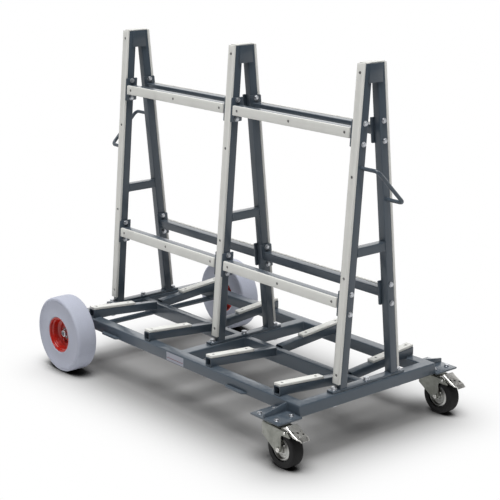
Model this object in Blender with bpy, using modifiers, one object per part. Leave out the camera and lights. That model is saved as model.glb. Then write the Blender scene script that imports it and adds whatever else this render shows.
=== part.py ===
"""Slab buggy: a low welded chassis on two large wheels and two braked swivel casters, carrying
three A-frames that stone slabs lean against on both sides.

Metres, +Z up. The pieces are laid out from the middle of the chassis, then all moved along X so
that the origin is on the floor under the middle of the overall length. +X points to the caster
end and +Y to the left side. Pieces that turn hang from an empty on their own axis.
"""

import math

import bmesh
import bpy
from mathutils import Matrix, Vector

COLLECTION_NAME = "slab_buggy"

# Fits: the clearance between pieces, the depth that welded solids share, the step where tubes meet
# flush and the run of every cut
GAP = 0.0003
SINK = 0.001
FLUSH_STEP = 0.0003
OVERRUN = 0.005
MERGE = 0.00001
SMOOTH_ANGLE = math.radians(32.0)

# Chassis
CHASSIS_LENGTH = 1.280
CHASSIS_WIDTH = 0.611
DECK_HEIGHT = 0.190
RAIL_TUBE = 0.040
RAIL_WALL = 0.003
RAIL_CORNER = 0.004
BEAM_WIDTH = 0.026
BEAM_HEIGHT = 0.050
BEAM_WALL = 0.0025

# Square tube of the A-frames, the longitudinal tubes and the arms
TUBE = 0.030
TUBE_WALL = 0.0025
TUBE_CORNER = 0.003

# Stub arms that rise outward over the side rails
ARM_INNER_X = 0.176
ARM_END_INSET = 0.0945
ARM_SHORTFALL = 0.0055
ARM_TILT = math.radians(5.0)
ARM_STRIP_START = 0.112
ARM_STRIP_INSET = 0.002

# A-frames
FRAME_LEAN = math.radians(5.0)
STRIP_FACE_AT_TOP = 0.0485
TOP_PLATE_ROOM = 0.113
MID_BAR_HEIGHT = 0.444
BASE_BAR_THICKNESS = 0.008
BASE_BAR_FOOT = 0.0213
BASE_BOLT_INSET = 0.017
TOP_PLATE_THICKNESS = 0.005
TOP_PLATE_DEPTH = 0.059
TOP_PLATE_HALF_WIDTH = 0.0245

# Strips
STRIP_THICKNESS = 0.009
STRIP_WIDTH = 0.032
STRIP_CHAMFER = 0.0012
LEG_STRIP_START = 0.026

# Longitudinal tubes between the A-frames
UPPER_TUBE_HEIGHT = 0.818
LOWER_TUBE_HEIGHT = 0.283
END_PLATE_THICKNESS = 0.006
END_PLATE_HEIGHT = 0.082
END_PLATE_WIDTH = 0.047
END_PLATE_INSET = 0.001
TUBE_STRIP_MARGIN = 0.026
TUBE_BOLT_SPREAD = 0.032

# Bolts
BOLT_RADIUS = 0.004
BOLT_SIDES = 8
WASHER_SIDES = 12
HEXAGON_SIDES = 6
BOLT_HEAD_FLATS = 0.013
BOLT_HEAD_HEIGHT = 0.0055
BASE_BOLT_RADIUS = 0.005
BASE_BOLT_FLATS = 0.017
BASE_BOLT_HEAD = 0.0065
BASE_WASHER_RADIUS = 0.011
BASE_WASHER_THICKNESS = 0.002
BASE_NUT_HEIGHT = 0.006
BASE_BOLT_END = 0.0025
BOLT_TAIL = 0.006

# Handles
HANDLE_RADIUS = 0.00625
HANDLE_BEND = 0.016
HANDLE_PROJECTION = 0.072
HANDLE_HIGH = 0.713
HANDLE_LOW = 0.598
HANDLE_RESOLUTION = 3
HANDLE_BEND_STEPS = 4

# Caster brackets and tie lugs on the side rails
BRACKET_BEHIND = 0.065
BRACKET_AHEAD = 0.070
BRACKET_WIDTH = 0.0945
BRACKET_THICKNESS = 0.006
RIB_BEHIND = 0.002
RIB_THICKNESS = 0.006
RIB_TIP_RISE = 0.013
LUG_INSETS = (0.197, 0.256)
LUG_LENGTH = 0.107
LUG_REACH = 0.014
LUG_THICKNESS = 0.006
LUG_TAPER = 0.012

# Large wheels
WHEEL_INSET = 0.0765
WHEEL_CLEARANCE = 0.0405
TYRE_HALF_WIDTH = 0.039
TYRE_SHOULDER = 0.010
TYRE_BEAD_LEAD = 0.0015
RIM_RADIUS = 0.066
RIM_HALF_WIDTH = 0.037
RIM_SHEET = 0.003
RIM_DISH_RADIUS = 0.052
RIM_STEP_RADIUS = 0.040
RIM_DISC_DEPTH = 0.002
RIM_STEP_RISE = 0.008
HUB_RADIUS = 0.026
HUB_OUTER_END = 0.006
HUB_INNER_END = 0.036
HUB_BORE_RADIUS = 0.0185
BEARING_RADIUS = 0.021
BEARING_WIDTH = 0.012
BEARING_GROOVE = 0.001
BEARING_INNER_RACE = 0.0135
BEARING_OUTER_RACE = 0.0175
AXLE_RADIUS = 0.010
AXLE_THREAD_RADIUS = 0.008
AXLE_COLLAR_RADIUS = 0.0135
AXLE_COLLAR_WIDTH = 0.009
AXLE_CHAMFER = 0.001
NUT_FLATS = 0.024
NUT_HEIGHT = 0.0085
NUT_WASHER_RADIUS = 0.015
NUT_WASHER_THICKNESS = 0.0025
TURN_STEPS = 32
AXLE_STEPS = 16
BEARING_STEPS = 16

# Casters
CASTER_INSET = 0.060
CASTER_STANDOFF = 0.0465
CASTER_TRAIL = 0.048
CASTER_WHEEL_CLEARANCE = 0.0054
CASTER_TYRE_HALF_WIDTH = 0.022
CASTER_TYRE_SHOULDER = 0.007
CASTER_TYRE_DEPTH = 0.0222
CASTER_TYRE_LEAD = 0.00125
CASTER_CORE_HALF_WIDTH = 0.0195
CASTER_CORE_LIP = 0.0055
CASTER_CORE_WEB = 0.0025
CASTER_HUB_RADIUS = 0.013
CASTER_HUB_HALF_WIDTH = 0.025
CASTER_PLATE_LENGTH = 0.105
CASTER_PLATE_WIDTH = 0.085
CASTER_PLATE_THICKNESS = 0.003
CASTER_PLATE_CORNER = 0.008
CASTER_BOLT_LENGTHWISE = 0.080
CASTER_BOLT_CROSSWISE = 0.060
RACE_RADIUS = 0.030
RACE_LIP = 0.0265
RACE_DEPTH = 0.0095
LOWER_RACE_RADIUS = 0.0245
LOWER_RACE_RISE = 0.003
KINGPIN_RADIUS = 0.006
KINGPIN_HEAD_RADIUS = 0.010
KINGPIN_HEAD_HEIGHT = 0.0025
FORK_SHEET = 0.0035
FORK_CLEARANCE = 0.0005
FORK_REAR = 0.031
FORK_REAR_DROP = 0.040
FORK_FRONT = 0.047
FORK_FOOT_REAR = 0.0235
FORK_FOOT_RADIUS = 0.0095
FORK_FOOT_TURNS = (0.0, math.pi / 4, math.pi / 2)
WING_SHOULDER = 0.084
WING_SHOULDER_DROP = 0.0035
WING_END = 0.100
WING_DEPTH = 0.0195
WING_TIP_RISE = 0.002
CASTER_AXLE_RADIUS = 0.005
CASTER_AXLE_FLATS = 0.014
CASTER_AXLE_HEAD = 0.006
CASTER_STEPS = 24

# Brake pedals
PEDAL_PIVOT_X = 0.076
PEDAL_PIVOT_DROP = 0.0085
PEDAL_PIN_RADIUS = 0.003
PEDAL_SHEET = 0.0025
PEDAL_HALF_WIDTH = 0.0325
PEDAL_REAR = 0.0525
PEDAL_REAR_RISE = 0.0020
PEDAL_CREST_RISE = 0.0115
PEDAL_VALLEY = 0.108
PEDAL_VALLEY_DROP = 0.0075
PEDAL_TOE = 0.125
PEDAL_TOE_DROP = 0.0145
PEDAL_TIP = 0.136
PEDAL_TIP_DROP = 0.025
PEDAL_LIP_HALF_WIDTH = 0.016
PEDAL_CHEEK_DROP = 0.017

# Places worked out from the sizes above
HALF_LENGTH = CHASSIS_LENGTH / 2
HALF_WIDTH = CHASSIS_WIDTH / 2
RAIL_INNER = HALF_WIDTH - RAIL_TUBE
RAIL_BOTTOM = DECK_HEIGHT - RAIL_TUBE
FRAME_PITCH = HALF_LENGTH - RAIL_TUBE / 2
FRAME_PLACES = (-FRAME_PITCH, 0.0, FRAME_PITCH)
FRAME_NAMES = ("wheel_end", "middle", "caster_end")
ARM_OUTER_X = FRAME_PITCH - ARM_END_INSET
ARM_PLACES = (-ARM_OUTER_X, -ARM_INNER_X, ARM_INNER_X, ARM_OUTER_X)
TUBE_DEPTH_START = STRIP_THICKNESS + GAP
TUBE_DEPTH_END = TUBE_DEPTH_START + TUBE
LEAN_SLOPE = math.tan(FRAME_LEAN)
ARM_SLOPE = math.tan(ARM_TILT)
ARM_REACH = HALF_WIDTH - ARM_SHORTFALL
ARM_STRIP_END = ARM_REACH - ARM_STRIP_INSET
FRAME_TOP = UPPER_TUBE_HEIGHT + END_PLATE_HEIGHT / 2 + TOP_PLATE_ROOM + TOP_PLATE_DEPTH
STRIP_FACE_AT_DECK = STRIP_FACE_AT_TOP + LEAN_SLOPE * FRAME_TOP
BASE_BAR_TOP = GAP + BASE_BAR_THICKNESS
BASE_BAR_REACH = STRIP_FACE_AT_DECK + BASE_BAR_FOOT
BASE_BOLT_REACH = BASE_BAR_REACH - BASE_BOLT_INSET
PLATE_FACE = TUBE / 2 + GAP
AXLE_HEIGHT = RAIL_BOTTOM - GAP - AXLE_RADIUS
TYRE_RADIUS = AXLE_HEIGHT
TYRE_BEAD_RADIUS = RIM_RADIUS + GAP
WHEEL_X = WHEEL_INSET - HALF_LENGTH
WHEEL_CENTRE_Y = HALF_WIDTH + WHEEL_CLEARANCE + TYRE_HALF_WIDTH
CASTER_X = HALF_LENGTH - CASTER_INSET
CASTER_Y = HALF_WIDTH + CASTER_STANDOFF
BRACKET_START = CASTER_X - BRACKET_BEHIND
BRACKET_END = CASTER_X + BRACKET_AHEAD
BRACKET_REACH = HALF_WIDTH + BRACKET_WIDTH
RIB_X = CASTER_X - RIB_BEHIND
LUG_STARTS = (LUG_INSETS[0] - HALF_LENGTH, HALF_LENGTH - LUG_INSETS[1] - LUG_LENGTH)
CASTER_PLATE_TOP = RAIL_BOTTOM - GAP
CASTER_PLATE_BOTTOM = CASTER_PLATE_TOP - CASTER_PLATE_THICKNESS
RACE_BOTTOM = CASTER_PLATE_BOTTOM - RACE_DEPTH
CROWN_TOP = RACE_BOTTOM - GAP - LOWER_RACE_RISE
CROWN_BOTTOM = CROWN_TOP - FORK_SHEET
CASTER_WHEEL_RADIUS = (CROWN_BOTTOM - CASTER_WHEEL_CLEARANCE) / 2
CASTER_TYRE_BORE = CASTER_WHEEL_RADIUS - CASTER_TYRE_DEPTH
CASTER_CORE_RADIUS = CASTER_TYRE_BORE - GAP
CASTER_CORE_RIM = CASTER_CORE_RADIUS - CASTER_CORE_LIP
FORK_INNER = CASTER_HUB_HALF_WIDTH + FORK_CLEARANCE
FORK_OUTER = FORK_INNER + FORK_SHEET
PEDAL_PIVOT_Z = CROWN_TOP - PEDAL_PIVOT_DROP
HANDLE_TIP = FRAME_PITCH + TUBE / 2 + HANDLE_PROJECTION
WHEEL_END = min(WHEEL_X - TYRE_RADIUS, -HANDLE_TIP - HANDLE_RADIUS)
CASTER_END = max(CASTER_X + PEDAL_TIP, HANDLE_TIP + HANDLE_RADIUS)
CENTRE_SHIFT = -(WHEEL_END + CASTER_END) / 2
SIDES = {"right": -1, "left": 1}


# Meshes and objects

def make_object(name, mesh):
    """A new object in the buggy's collection."""
    obj = bpy.data.objects.new(name, mesh)
    bpy.data.collections[COLLECTION_NAME].objects.link(obj)
    return obj


def finish_mesh(bm, name):
    """The object of a finished bmesh, with its normals pointing out."""
    bm.normal_update()
    bmesh.ops.recalc_face_normals(bm, faces=bm.faces)
    mesh = bpy.data.meshes.new(name)
    bm.to_mesh(mesh)
    bm.free()
    return make_object(name, mesh)


def block(low, high, frame=None, corner=0.0, along=None, segments=2):
    """A box between two corners. Its edges along one axis are rounded by the corner radius."""
    size = Vector(high) - Vector(low)
    centre = (Vector(high) + Vector(low)) / 2
    bm = bmesh.new()
    bmesh.ops.create_cube(bm, size=1.0)
    bm.transform(Matrix.Translation(centre) @ Matrix.Diagonal((*size, 1.0)))
    if corner:
        edges = [e for e in bm.edges if abs((e.verts[0].co - e.verts[1].co)[along]) > MERGE]
        bmesh.ops.bevel(bm, geom=edges, offset=corner, segments=segments, profile=0.5, affect="EDGES")
    if frame:
        bm.transform(frame)
    return finish_mesh(bm, "block")


def rod(start, end, radius, sides):
    """A straight round or many-sided bar between two points, one flat facing up where it lies level."""
    start, end = Vector(start), Vector(end)
    axis = end - start
    bm = bmesh.new()
    bmesh.ops.create_cone(
        bm, cap_ends=True, segments=sides, radius1=radius, radius2=radius, depth=axis.length
    )
    turn = axis.to_track_quat("Z", "Y").to_matrix().to_4x4()
    bm.transform(Matrix.Translation((start + end) / 2) @ turn)
    return finish_mesh(bm, "rod")


def hexagon(start, end, flats):
    """A hexagon bar, such as a bolt head or a nut, by its width across the flats."""
    return rod(start, end, flats / math.sqrt(3), HEXAGON_SIDES)


def to_mesh_object(obj):
    """Replaces an object by the mesh that it shows, with loose caps welded."""
    bpy.context.view_layer.update()
    shown = obj.evaluated_get(bpy.context.evaluated_depsgraph_get())
    mesh = bpy.data.meshes.new_from_object(shown)
    bm = bmesh.new()
    bm.from_mesh(mesh)
    bm.transform(obj.matrix_world)
    bmesh.ops.remove_doubles(bm, verts=bm.verts, dist=MERGE)
    bpy.data.objects.remove(obj)
    return finish_mesh(bm, "solid")


def plate(outline, thickness, frame):
    """A flat outline in its own XY plane, given half its thickness both ways, then placed."""
    curve = bpy.data.curves.new("outline", "CURVE")
    curve.dimensions = "2D"
    curve.fill_mode = "BOTH"
    curve.extrude = thickness / 2
    spline = curve.splines.new("POLY")
    spline.points.add(len(outline) - 1)
    for point, (x, y) in zip(spline.points, outline):
        point.co = (x, y, 0.0, 1.0)
    spline.use_cyclic_u = True
    obj = make_object("outline", curve)
    obj.matrix_world = frame
    return to_mesh_object(obj)


def turned(profile, place, steps):
    """A profile of (radius, height) points, closed to a loop unless it ends on the axis, turned round Z."""
    open_ended = profile[0][0] == 0.0
    mesh = bpy.data.meshes.new("profile")
    edges = [(i, i + 1) for i in range(len(profile) - 1)]
    if not open_ended:
        edges.append((len(profile) - 1, 0))
    mesh.from_pydata([(radius, 0.0, height) for radius, height in profile], edges, [])
    obj = make_object("profile", mesh)
    screw = obj.modifiers.new("Turn", "SCREW")
    screw.steps = steps
    screw.render_steps = steps
    screw.use_merge_vertices = True
    screw.merge_threshold = MERGE
    obj.matrix_world = place
    return to_mesh_object(obj)


def combine(body, tools, operation):
    """Joins tools to a body, or cuts them from it, as one exact Boolean."""
    if not tools:
        return body
    group = bpy.data.collections.new("tools")
    for tool in tools:
        group.objects.link(tool)
    modifier = body.modifiers.new("Combine", "BOOLEAN")
    modifier.operation = operation
    modifier.operand_type = "COLLECTION"
    modifier.collection = group
    modifier.solver = "EXACT"
    result = to_mesh_object(body)
    for tool in tools:
        bpy.data.objects.remove(tool)
    bpy.data.collections.remove(group)
    return result


def fuse(solids, cuts=()):
    """One body from overlapping solids, less the cuts."""
    body = combine(solids[0], solids[1:], "UNION")
    return combine(body, list(cuts), "DIFFERENCE")


def sub_part(name, obj, material, hinge=None, smooth=True):
    """Names a finished solid, gives it its material and hangs it from its hinge."""
    obj.name = name
    obj.data.name = name
    obj.data.materials.clear()
    obj.data.materials.append(material)
    if smooth:
        obj.data.shade_smooth()
        obj.data.set_sharp_from_angle(angle=SMOOTH_ANGLE)
    if hinge:
        bpy.context.view_layer.update()
        obj.data.transform(hinge.matrix_world.inverted())
        obj.parent = hinge
    return obj


def make_hinge(name, place, parent=None):
    """An empty on a joint's axis, at a world place."""
    hinge = make_object(name, None)
    if parent:
        hinge.parent = parent
        hinge.location = Vector(place) - parent.matrix_world.translation
    else:
        hinge.location = place
    bpy.context.view_layer.update()
    return hinge


def finish(name, colour, roughness, metallic):
    """A plain material of one sub-part family."""
    material = bpy.data.materials.new(name)
    material.use_nodes = True
    shader = material.node_tree.nodes["Principled BSDF"]
    shader.inputs["Base Color"].default_value = (*colour, 1.0)
    shader.inputs["Roughness"].default_value = roughness
    shader.inputs["Metallic"].default_value = metallic
    return material


# Frames of reference

def lean_frame(side):
    """Places (x, depth inward from the strips' outer face, height over the deck) on one leaning side."""
    return Matrix((
        (1.0, 0.0, 0.0, 0.0),
        (0.0, -side, -side * LEAN_SLOPE, side * STRIP_FACE_AT_DECK),
        (0.0, 0.0, 1.0, DECK_HEIGHT),
        (0.0, 0.0, 0.0, 1.0),
    ))


def arm_frame(side):
    """Places (x, distance from the centre line, height over the arm's underside) on one tilted arm."""
    return Matrix((
        (1.0, 0.0, 0.0, 0.0),
        (0.0, side, 0.0, 0.0),
        (0.0, ARM_SLOPE, 1.0, DECK_HEIGHT - SINK - ARM_SLOPE * RAIL_INNER),
        (0.0, 0.0, 0.0, 1.0),
    ))


def across_frame(x, y, z, side):
    """Places (radius, height) shapes turned round a line along Y, their height pointing outward."""
    return Matrix.Translation((x, y, z)) @ Matrix.Rotation(-side * math.pi / 2, 4, "X")


def upright_frame(y):
    """Stands an XY outline up in the XZ plane at one Y."""
    return Matrix.Translation((0.0, y, 0.0)) @ Matrix.Rotation(math.pi / 2, 4, "X")


def cross_frame(x):
    """Stands an XY outline up in the YZ plane at one X."""
    turn = Matrix.Rotation(math.pi / 2, 4, "Z") @ Matrix.Rotation(math.pi / 2, 4, "X")
    return Matrix.Translation((x, 0.0, 0.0)) @ turn


def lean_point(side, x, depth, height):
    """A world point from its place on the leaning side."""
    return lean_frame(side) @ Vector((x, depth, height))


# Chassis

def bracket_bolt_places(side):
    """Where the four caster bolts of one side pass through the bracket plate."""
    x_half = CASTER_BOLT_LENGTHWISE / 2
    y_half = CASTER_BOLT_CROSSWISE / 2
    return [
        (CASTER_X + i * x_half, side * CASTER_Y + j * y_half) for i in (-1, 1) for j in (-1, 1)
    ]


def chassis_rails():
    """The side rails, end rails, cross member and centre beam, as outer solids and as bores."""
    solids, bores = [], []
    inner_y = HALF_WIDTH - RAIL_WALL
    inner_x = HALF_LENGTH - RAIL_WALL
    low = RAIL_BOTTOM + RAIL_WALL
    high = DECK_HEIGHT - RAIL_WALL
    for side in SIDES.values():
        ends = sorted((side * RAIL_INNER, side * HALF_WIDTH))
        solids.append(block(
            (-HALF_LENGTH, ends[0], RAIL_BOTTOM), (HALF_LENGTH, ends[1], DECK_HEIGHT),
            corner=RAIL_CORNER, along=0,
        ))
        ends = sorted((side * (RAIL_INNER + RAIL_WALL), side * inner_y))
        bores.append(block((-inner_x, ends[0], low), (inner_x, ends[1], high)))
    cross_reach = RAIL_INNER + RAIL_TUBE / 2
    half = RAIL_TUBE / 2 - RAIL_WALL
    for place in FRAME_PLACES:
        solids.append(block(
            (place - RAIL_TUBE / 2, -cross_reach, RAIL_BOTTOM),
            (place + RAIL_TUBE / 2, cross_reach, DECK_HEIGHT),
            corner=RAIL_CORNER, along=1,
        ))
        bores.append(block((place - half, -cross_reach, low), (place + half, cross_reach, high)))
    solids.append(block(
        (-FRAME_PITCH, -BEAM_WIDTH / 2, DECK_HEIGHT - BEAM_HEIGHT),
        (FRAME_PITCH, BEAM_WIDTH / 2, DECK_HEIGHT),
        corner=TUBE_CORNER, along=0,
    ))
    half = BEAM_WIDTH / 2 - BEAM_WALL
    bores.append(block(
        (-FRAME_PITCH, -half, DECK_HEIGHT - BEAM_HEIGHT + BEAM_WALL),
        (FRAME_PITCH, half, DECK_HEIGHT - RAIL_WALL),
    ))
    return solids, bores


def chassis_arms():
    """The eight arms, open at their outer ends."""
    solids, bores = [], []
    root = BEAM_WIDTH / 2 - SINK
    bore_root = BEAM_WIDTH / 2 + TUBE_WALL
    half = TUBE / 2 - TUBE_WALL
    for side in SIDES.values():
        frame = arm_frame(side)
        for x in ARM_PLACES:
            solids.append(block(
                (x - TUBE / 2, root, 0.0), (x + TUBE / 2, ARM_REACH, TUBE),
                frame, corner=TUBE_CORNER, along=1,
            ))
            bores.append(block(
                (x - half, bore_root, TUBE_WALL),
                (x + half, ARM_REACH + OVERRUN, TUBE - TUBE_WALL), frame,
            ))
    return solids, bores


def chassis_brackets():
    """The caster bracket plates, their ribs and the tie lugs, and the bolt holes in the plates."""
    solids, holes = [], []
    weld = HALF_WIDTH - RAIL_WALL + SINK
    for side in SIDES.values():
        ends = sorted((side * weld, side * BRACKET_REACH))
        solids.append(block(
            (BRACKET_START, ends[0], RAIL_BOTTOM),
            (BRACKET_END, ends[1], RAIL_BOTTOM + BRACKET_THICKNESS),
        ))
        rib = [
            (side * weld, RAIL_BOTTOM + SINK),
            (side * BRACKET_REACH, RAIL_BOTTOM + SINK),
            (side * BRACKET_REACH, RAIL_BOTTOM + BRACKET_THICKNESS + RIB_TIP_RISE),
            (side * weld, DECK_HEIGHT - RAIL_CORNER),
        ]
        solids.append(plate(rib, RIB_THICKNESS, cross_frame(RIB_X)))
        for start in LUG_STARTS:
            lug = [
                (start, side * weld),
                (start, side * HALF_WIDTH),
                (start + LUG_TAPER, side * (HALF_WIDTH + LUG_REACH)),
                (start + LUG_LENGTH - LUG_TAPER, side * (HALF_WIDTH + LUG_REACH)),
                (start + LUG_LENGTH, side * HALF_WIDTH),
                (start + LUG_LENGTH, side * weld),
            ]
            height = RAIL_BOTTOM + RAIL_CORNER + LUG_THICKNESS / 2
            solids.append(plate(lug, LUG_THICKNESS, Matrix.Translation((0.0, 0.0, height))))
        for x, y in bracket_bolt_places(side):
            low = (x, y, RAIL_BOTTOM - OVERRUN)
            high = (x, y, RAIL_BOTTOM + BRACKET_THICKNESS + OVERRUN)
            holes.append(rod(low, high, BOLT_RADIUS + GAP, BOLT_SIDES))
    return solids, holes


def build_chassis(paint):
    """The welded chassis, its tubes hollow."""
    rails, rail_bores = chassis_rails()
    arms, arm_bores = chassis_arms()
    brackets, holes = chassis_brackets()
    for place in FRAME_PLACES:
        for y in (-BASE_BOLT_REACH, 0.0, BASE_BOLT_REACH):
            low = (place, y, DECK_HEIGHT - RAIL_WALL - OVERRUN)
            high = (place, y, DECK_HEIGHT + OVERRUN)
            holes.append(rod(low, high, BASE_BOLT_RADIUS + GAP, BOLT_SIDES))
    holes.append(rod(
        (WHEEL_X, -BEAM_WIDTH, AXLE_HEIGHT), (WHEEL_X, BEAM_WIDTH, AXLE_HEIGHT),
        (AXLE_RADIUS + GAP) / math.cos(math.pi / TURN_STEPS), TURN_STEPS,
    ))
    bolt_room = [
        rod(
            (place, y, RAIL_BOTTOM - OVERRUN), (place, y, DECK_HEIGHT - SINK),
            BASE_BOLT_RADIUS + GAP, BOLT_SIDES,
        )
        for place in FRAME_PLACES for y in (-BASE_BOLT_REACH, BASE_BOLT_REACH)
    ]
    body = combine(rails[0], rails[1:], "UNION")
    body = combine(body, arms + brackets, "UNION")
    body = combine(body, rail_bores + arm_bores, "DIFFERENCE")
    body = combine(body, holes + bolt_room, "DIFFERENCE")
    sub_part("chassis", body, paint)


# A-frames and longitudinal tubes

def tube_bolt_places(side):
    """Depth and height of each bolt that ties the longitudinal tubes to a leg of one side."""
    depth = TUBE_DEPTH_START + TUBE / 2
    return [
        lean_point(side, 0.0, depth, level + step)
        for level in (LOWER_TUBE_HEIGHT, UPPER_TUBE_HEIGHT)
        for step in (-TUBE_BOLT_SPREAD, TUBE_BOLT_SPREAD)
    ]


def build_a_frame(name, x, paint):
    """One welded A-frame with its base bolts."""
    solids, cuts = [], []
    leg_foot = BASE_BAR_TOP - SINK
    for side in SIDES.values():
        frame = lean_frame(side)
        solids.append(block(
            (x - TUBE / 2, TUBE_DEPTH_START, leg_foot), (x + TUBE / 2, TUBE_DEPTH_END, FRAME_TOP),
            frame, corner=TUBE_CORNER, along=2,
        ))
        half = TUBE / 2 - TUBE_WALL
        cuts.append(block(
            (x - half, TUBE_DEPTH_START + TUBE_WALL, BASE_BAR_TOP + SINK),
            (x + half, TUBE_DEPTH_END - TUBE_WALL, FRAME_TOP + OVERRUN), frame,
        ))
        reach = TUBE / 2 + OVERRUN
        for place in tube_bolt_places(side):
            cuts.append(rod(
                (x - reach, place.y, place.z), (x + reach, place.y, place.z),
                BOLT_RADIUS + GAP, BOLT_SIDES,
            ))
    low = MID_BAR_HEIGHT - TUBE / 2
    high = MID_BAR_HEIGHT + TUBE / 2
    reach = STRIP_FACE_AT_DECK - TUBE_DEPTH_END - LEAN_SLOPE * low + SINK
    half = TUBE / 2 - FLUSH_STEP
    solids.append(block(
        (x - half, -reach, DECK_HEIGHT + low), (x + half, reach, DECK_HEIGHT + high),
        corner=TUBE_CORNER, along=1,
    ))
    half -= TUBE_WALL
    cuts.append(block(
        (x - half, -reach, DECK_HEIGHT + low + TUBE_WALL),
        (x + half, reach, DECK_HEIGHT + high - TUBE_WALL),
    ))
    half = TUBE / 2 + FLUSH_STEP
    solids.append(block(
        (x - half, -BASE_BAR_REACH, DECK_HEIGHT + GAP),
        (x + half, BASE_BAR_REACH, DECK_HEIGHT + BASE_BAR_TOP),
    ))
    top = DECK_HEIGHT + FRAME_TOP - FLUSH_STEP
    flare = TOP_PLATE_HALF_WIDTH + LEAN_SLOPE * TOP_PLATE_DEPTH
    outline = [
        (-flare, top - TOP_PLATE_DEPTH), (flare, top - TOP_PLATE_DEPTH),
        (TOP_PLATE_HALF_WIDTH, top), (-TOP_PLATE_HALF_WIDTH, top),
    ]
    for face in (-1, 1):
        centre = x + face * (TUBE / 2 + (TOP_PLATE_THICKNESS - SINK) / 2)
        solids.append(plate(outline, TOP_PLATE_THICKNESS + SINK, cross_frame(centre)))
    bolts = []
    base_top = DECK_HEIGHT + BASE_BAR_TOP
    washer_top = base_top + BASE_WASHER_THICKNESS
    nut_top = RAIL_BOTTOM - GAP
    nut_low = nut_top - BASE_NUT_HEIGHT
    for y in (-BASE_BOLT_REACH, 0.0, BASE_BOLT_REACH):
        tail = nut_low - BASE_BOLT_END if y else DECK_HEIGHT - RAIL_WALL - BOLT_TAIL
        if y:
            bolts.append(hexagon((x, y, nut_low), (x, y, nut_top), BASE_BOLT_FLATS))
        bolts.append(rod((x, y, base_top - SINK), (x, y, washer_top), BASE_WASHER_RADIUS, WASHER_SIDES))
        bolts.append(hexagon(
            (x, y, washer_top - SINK), (x, y, washer_top + BASE_BOLT_HEAD), BASE_BOLT_FLATS,
        ))
        bolts.append(rod((x, y, tail), (x, y, base_top - SINK), BASE_BOLT_RADIUS, BOLT_SIDES))
    body = combine(solids[0], solids[1:], "UNION")
    body = combine(body, cuts, "DIFFERENCE")
    body = combine(body, bolts, "UNION")
    sub_part(f"a_frame_{name}", body, paint)


def build_longitudinal_tube(side_name, level_name, bay, level, paint):
    """One tube between two A-frames, with its end plates and the bolts that it brings.

    The tube of the wheel-end bay brings the bolts of the middle frame, which pass through the
    plate of the caster-end bay's tube as well.
    """
    side = SIDES[side_name]
    frame = lean_frame(side)
    start = FRAME_PLACES[bay] + PLATE_FACE
    end = FRAME_PLACES[bay + 1] - PLATE_FACE
    low, high = level - TUBE / 2, level + TUBE / 2
    solids = [block(
        (start + SINK, TUBE_DEPTH_START, low), (end - SINK, TUBE_DEPTH_END, high),
        frame, corner=TUBE_CORNER, along=0,
    )]
    cuts = [block(
        (start - OVERRUN, TUBE_DEPTH_START + TUBE_WALL, low + TUBE_WALL),
        (end + OVERRUN, TUBE_DEPTH_END - TUBE_WALL, high - TUBE_WALL), frame,
    )]
    bolts = []
    for face, direction in ((start, 1), (end, -1)):
        inner = face + direction * END_PLATE_THICKNESS
        ends = sorted((face, inner))
        solids.append(block(
            (ends[0], END_PLATE_INSET, level - END_PLATE_HEIGHT / 2),
            (ends[1], END_PLATE_INSET + END_PLATE_WIDTH, level + END_PLATE_HEIGHT / 2), frame,
        ))
        brings_bolts = not (bay == 1 and direction == 1)
        shared = bay == 0 and direction == -1
        for step in (-TUBE_BOLT_SPREAD, TUBE_BOLT_SPREAD):
            place = lean_point(side, 0.0, TUBE_DEPTH_START + TUBE / 2, level + step)
            if not brings_bolts:
                cuts.append(rod(
                    (face - OVERRUN, place.y, place.z), (inner + OVERRUN, place.y, place.z),
                    BOLT_RADIUS + GAP, BOLT_SIDES,
                ))
                continue
            far = face - direction * (TUBE + GAP)
            if shared:
                far -= direction * (END_PLATE_THICKNESS + GAP)
            far -= direction * GAP
            nut_end = far - direction * BOLT_HEAD_HEIGHT
            head_end = inner + direction * BOLT_HEAD_HEIGHT
            bolts.append(hexagon(
                (inner - direction * SINK, place.y, place.z), (head_end, place.y, place.z),
                BOLT_HEAD_FLATS,
            ))
            bolts.append(rod(
                (face + direction * SINK, place.y, place.z),
                (far - direction * SINK, place.y, place.z), BOLT_RADIUS, BOLT_SIDES,
            ))
            bolts.append(hexagon(
                (far, place.y, place.z), (nut_end, place.y, place.z), BOLT_HEAD_FLATS,
            ))
    body = fuse(solids, cuts)
    body = combine(body, bolts, "UNION")
    bay_name = ("wheel_bay", "caster_bay")[bay]
    sub_part(f"{level_name}_tube_{side_name}_{bay_name}", body, paint)


# Strips

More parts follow.
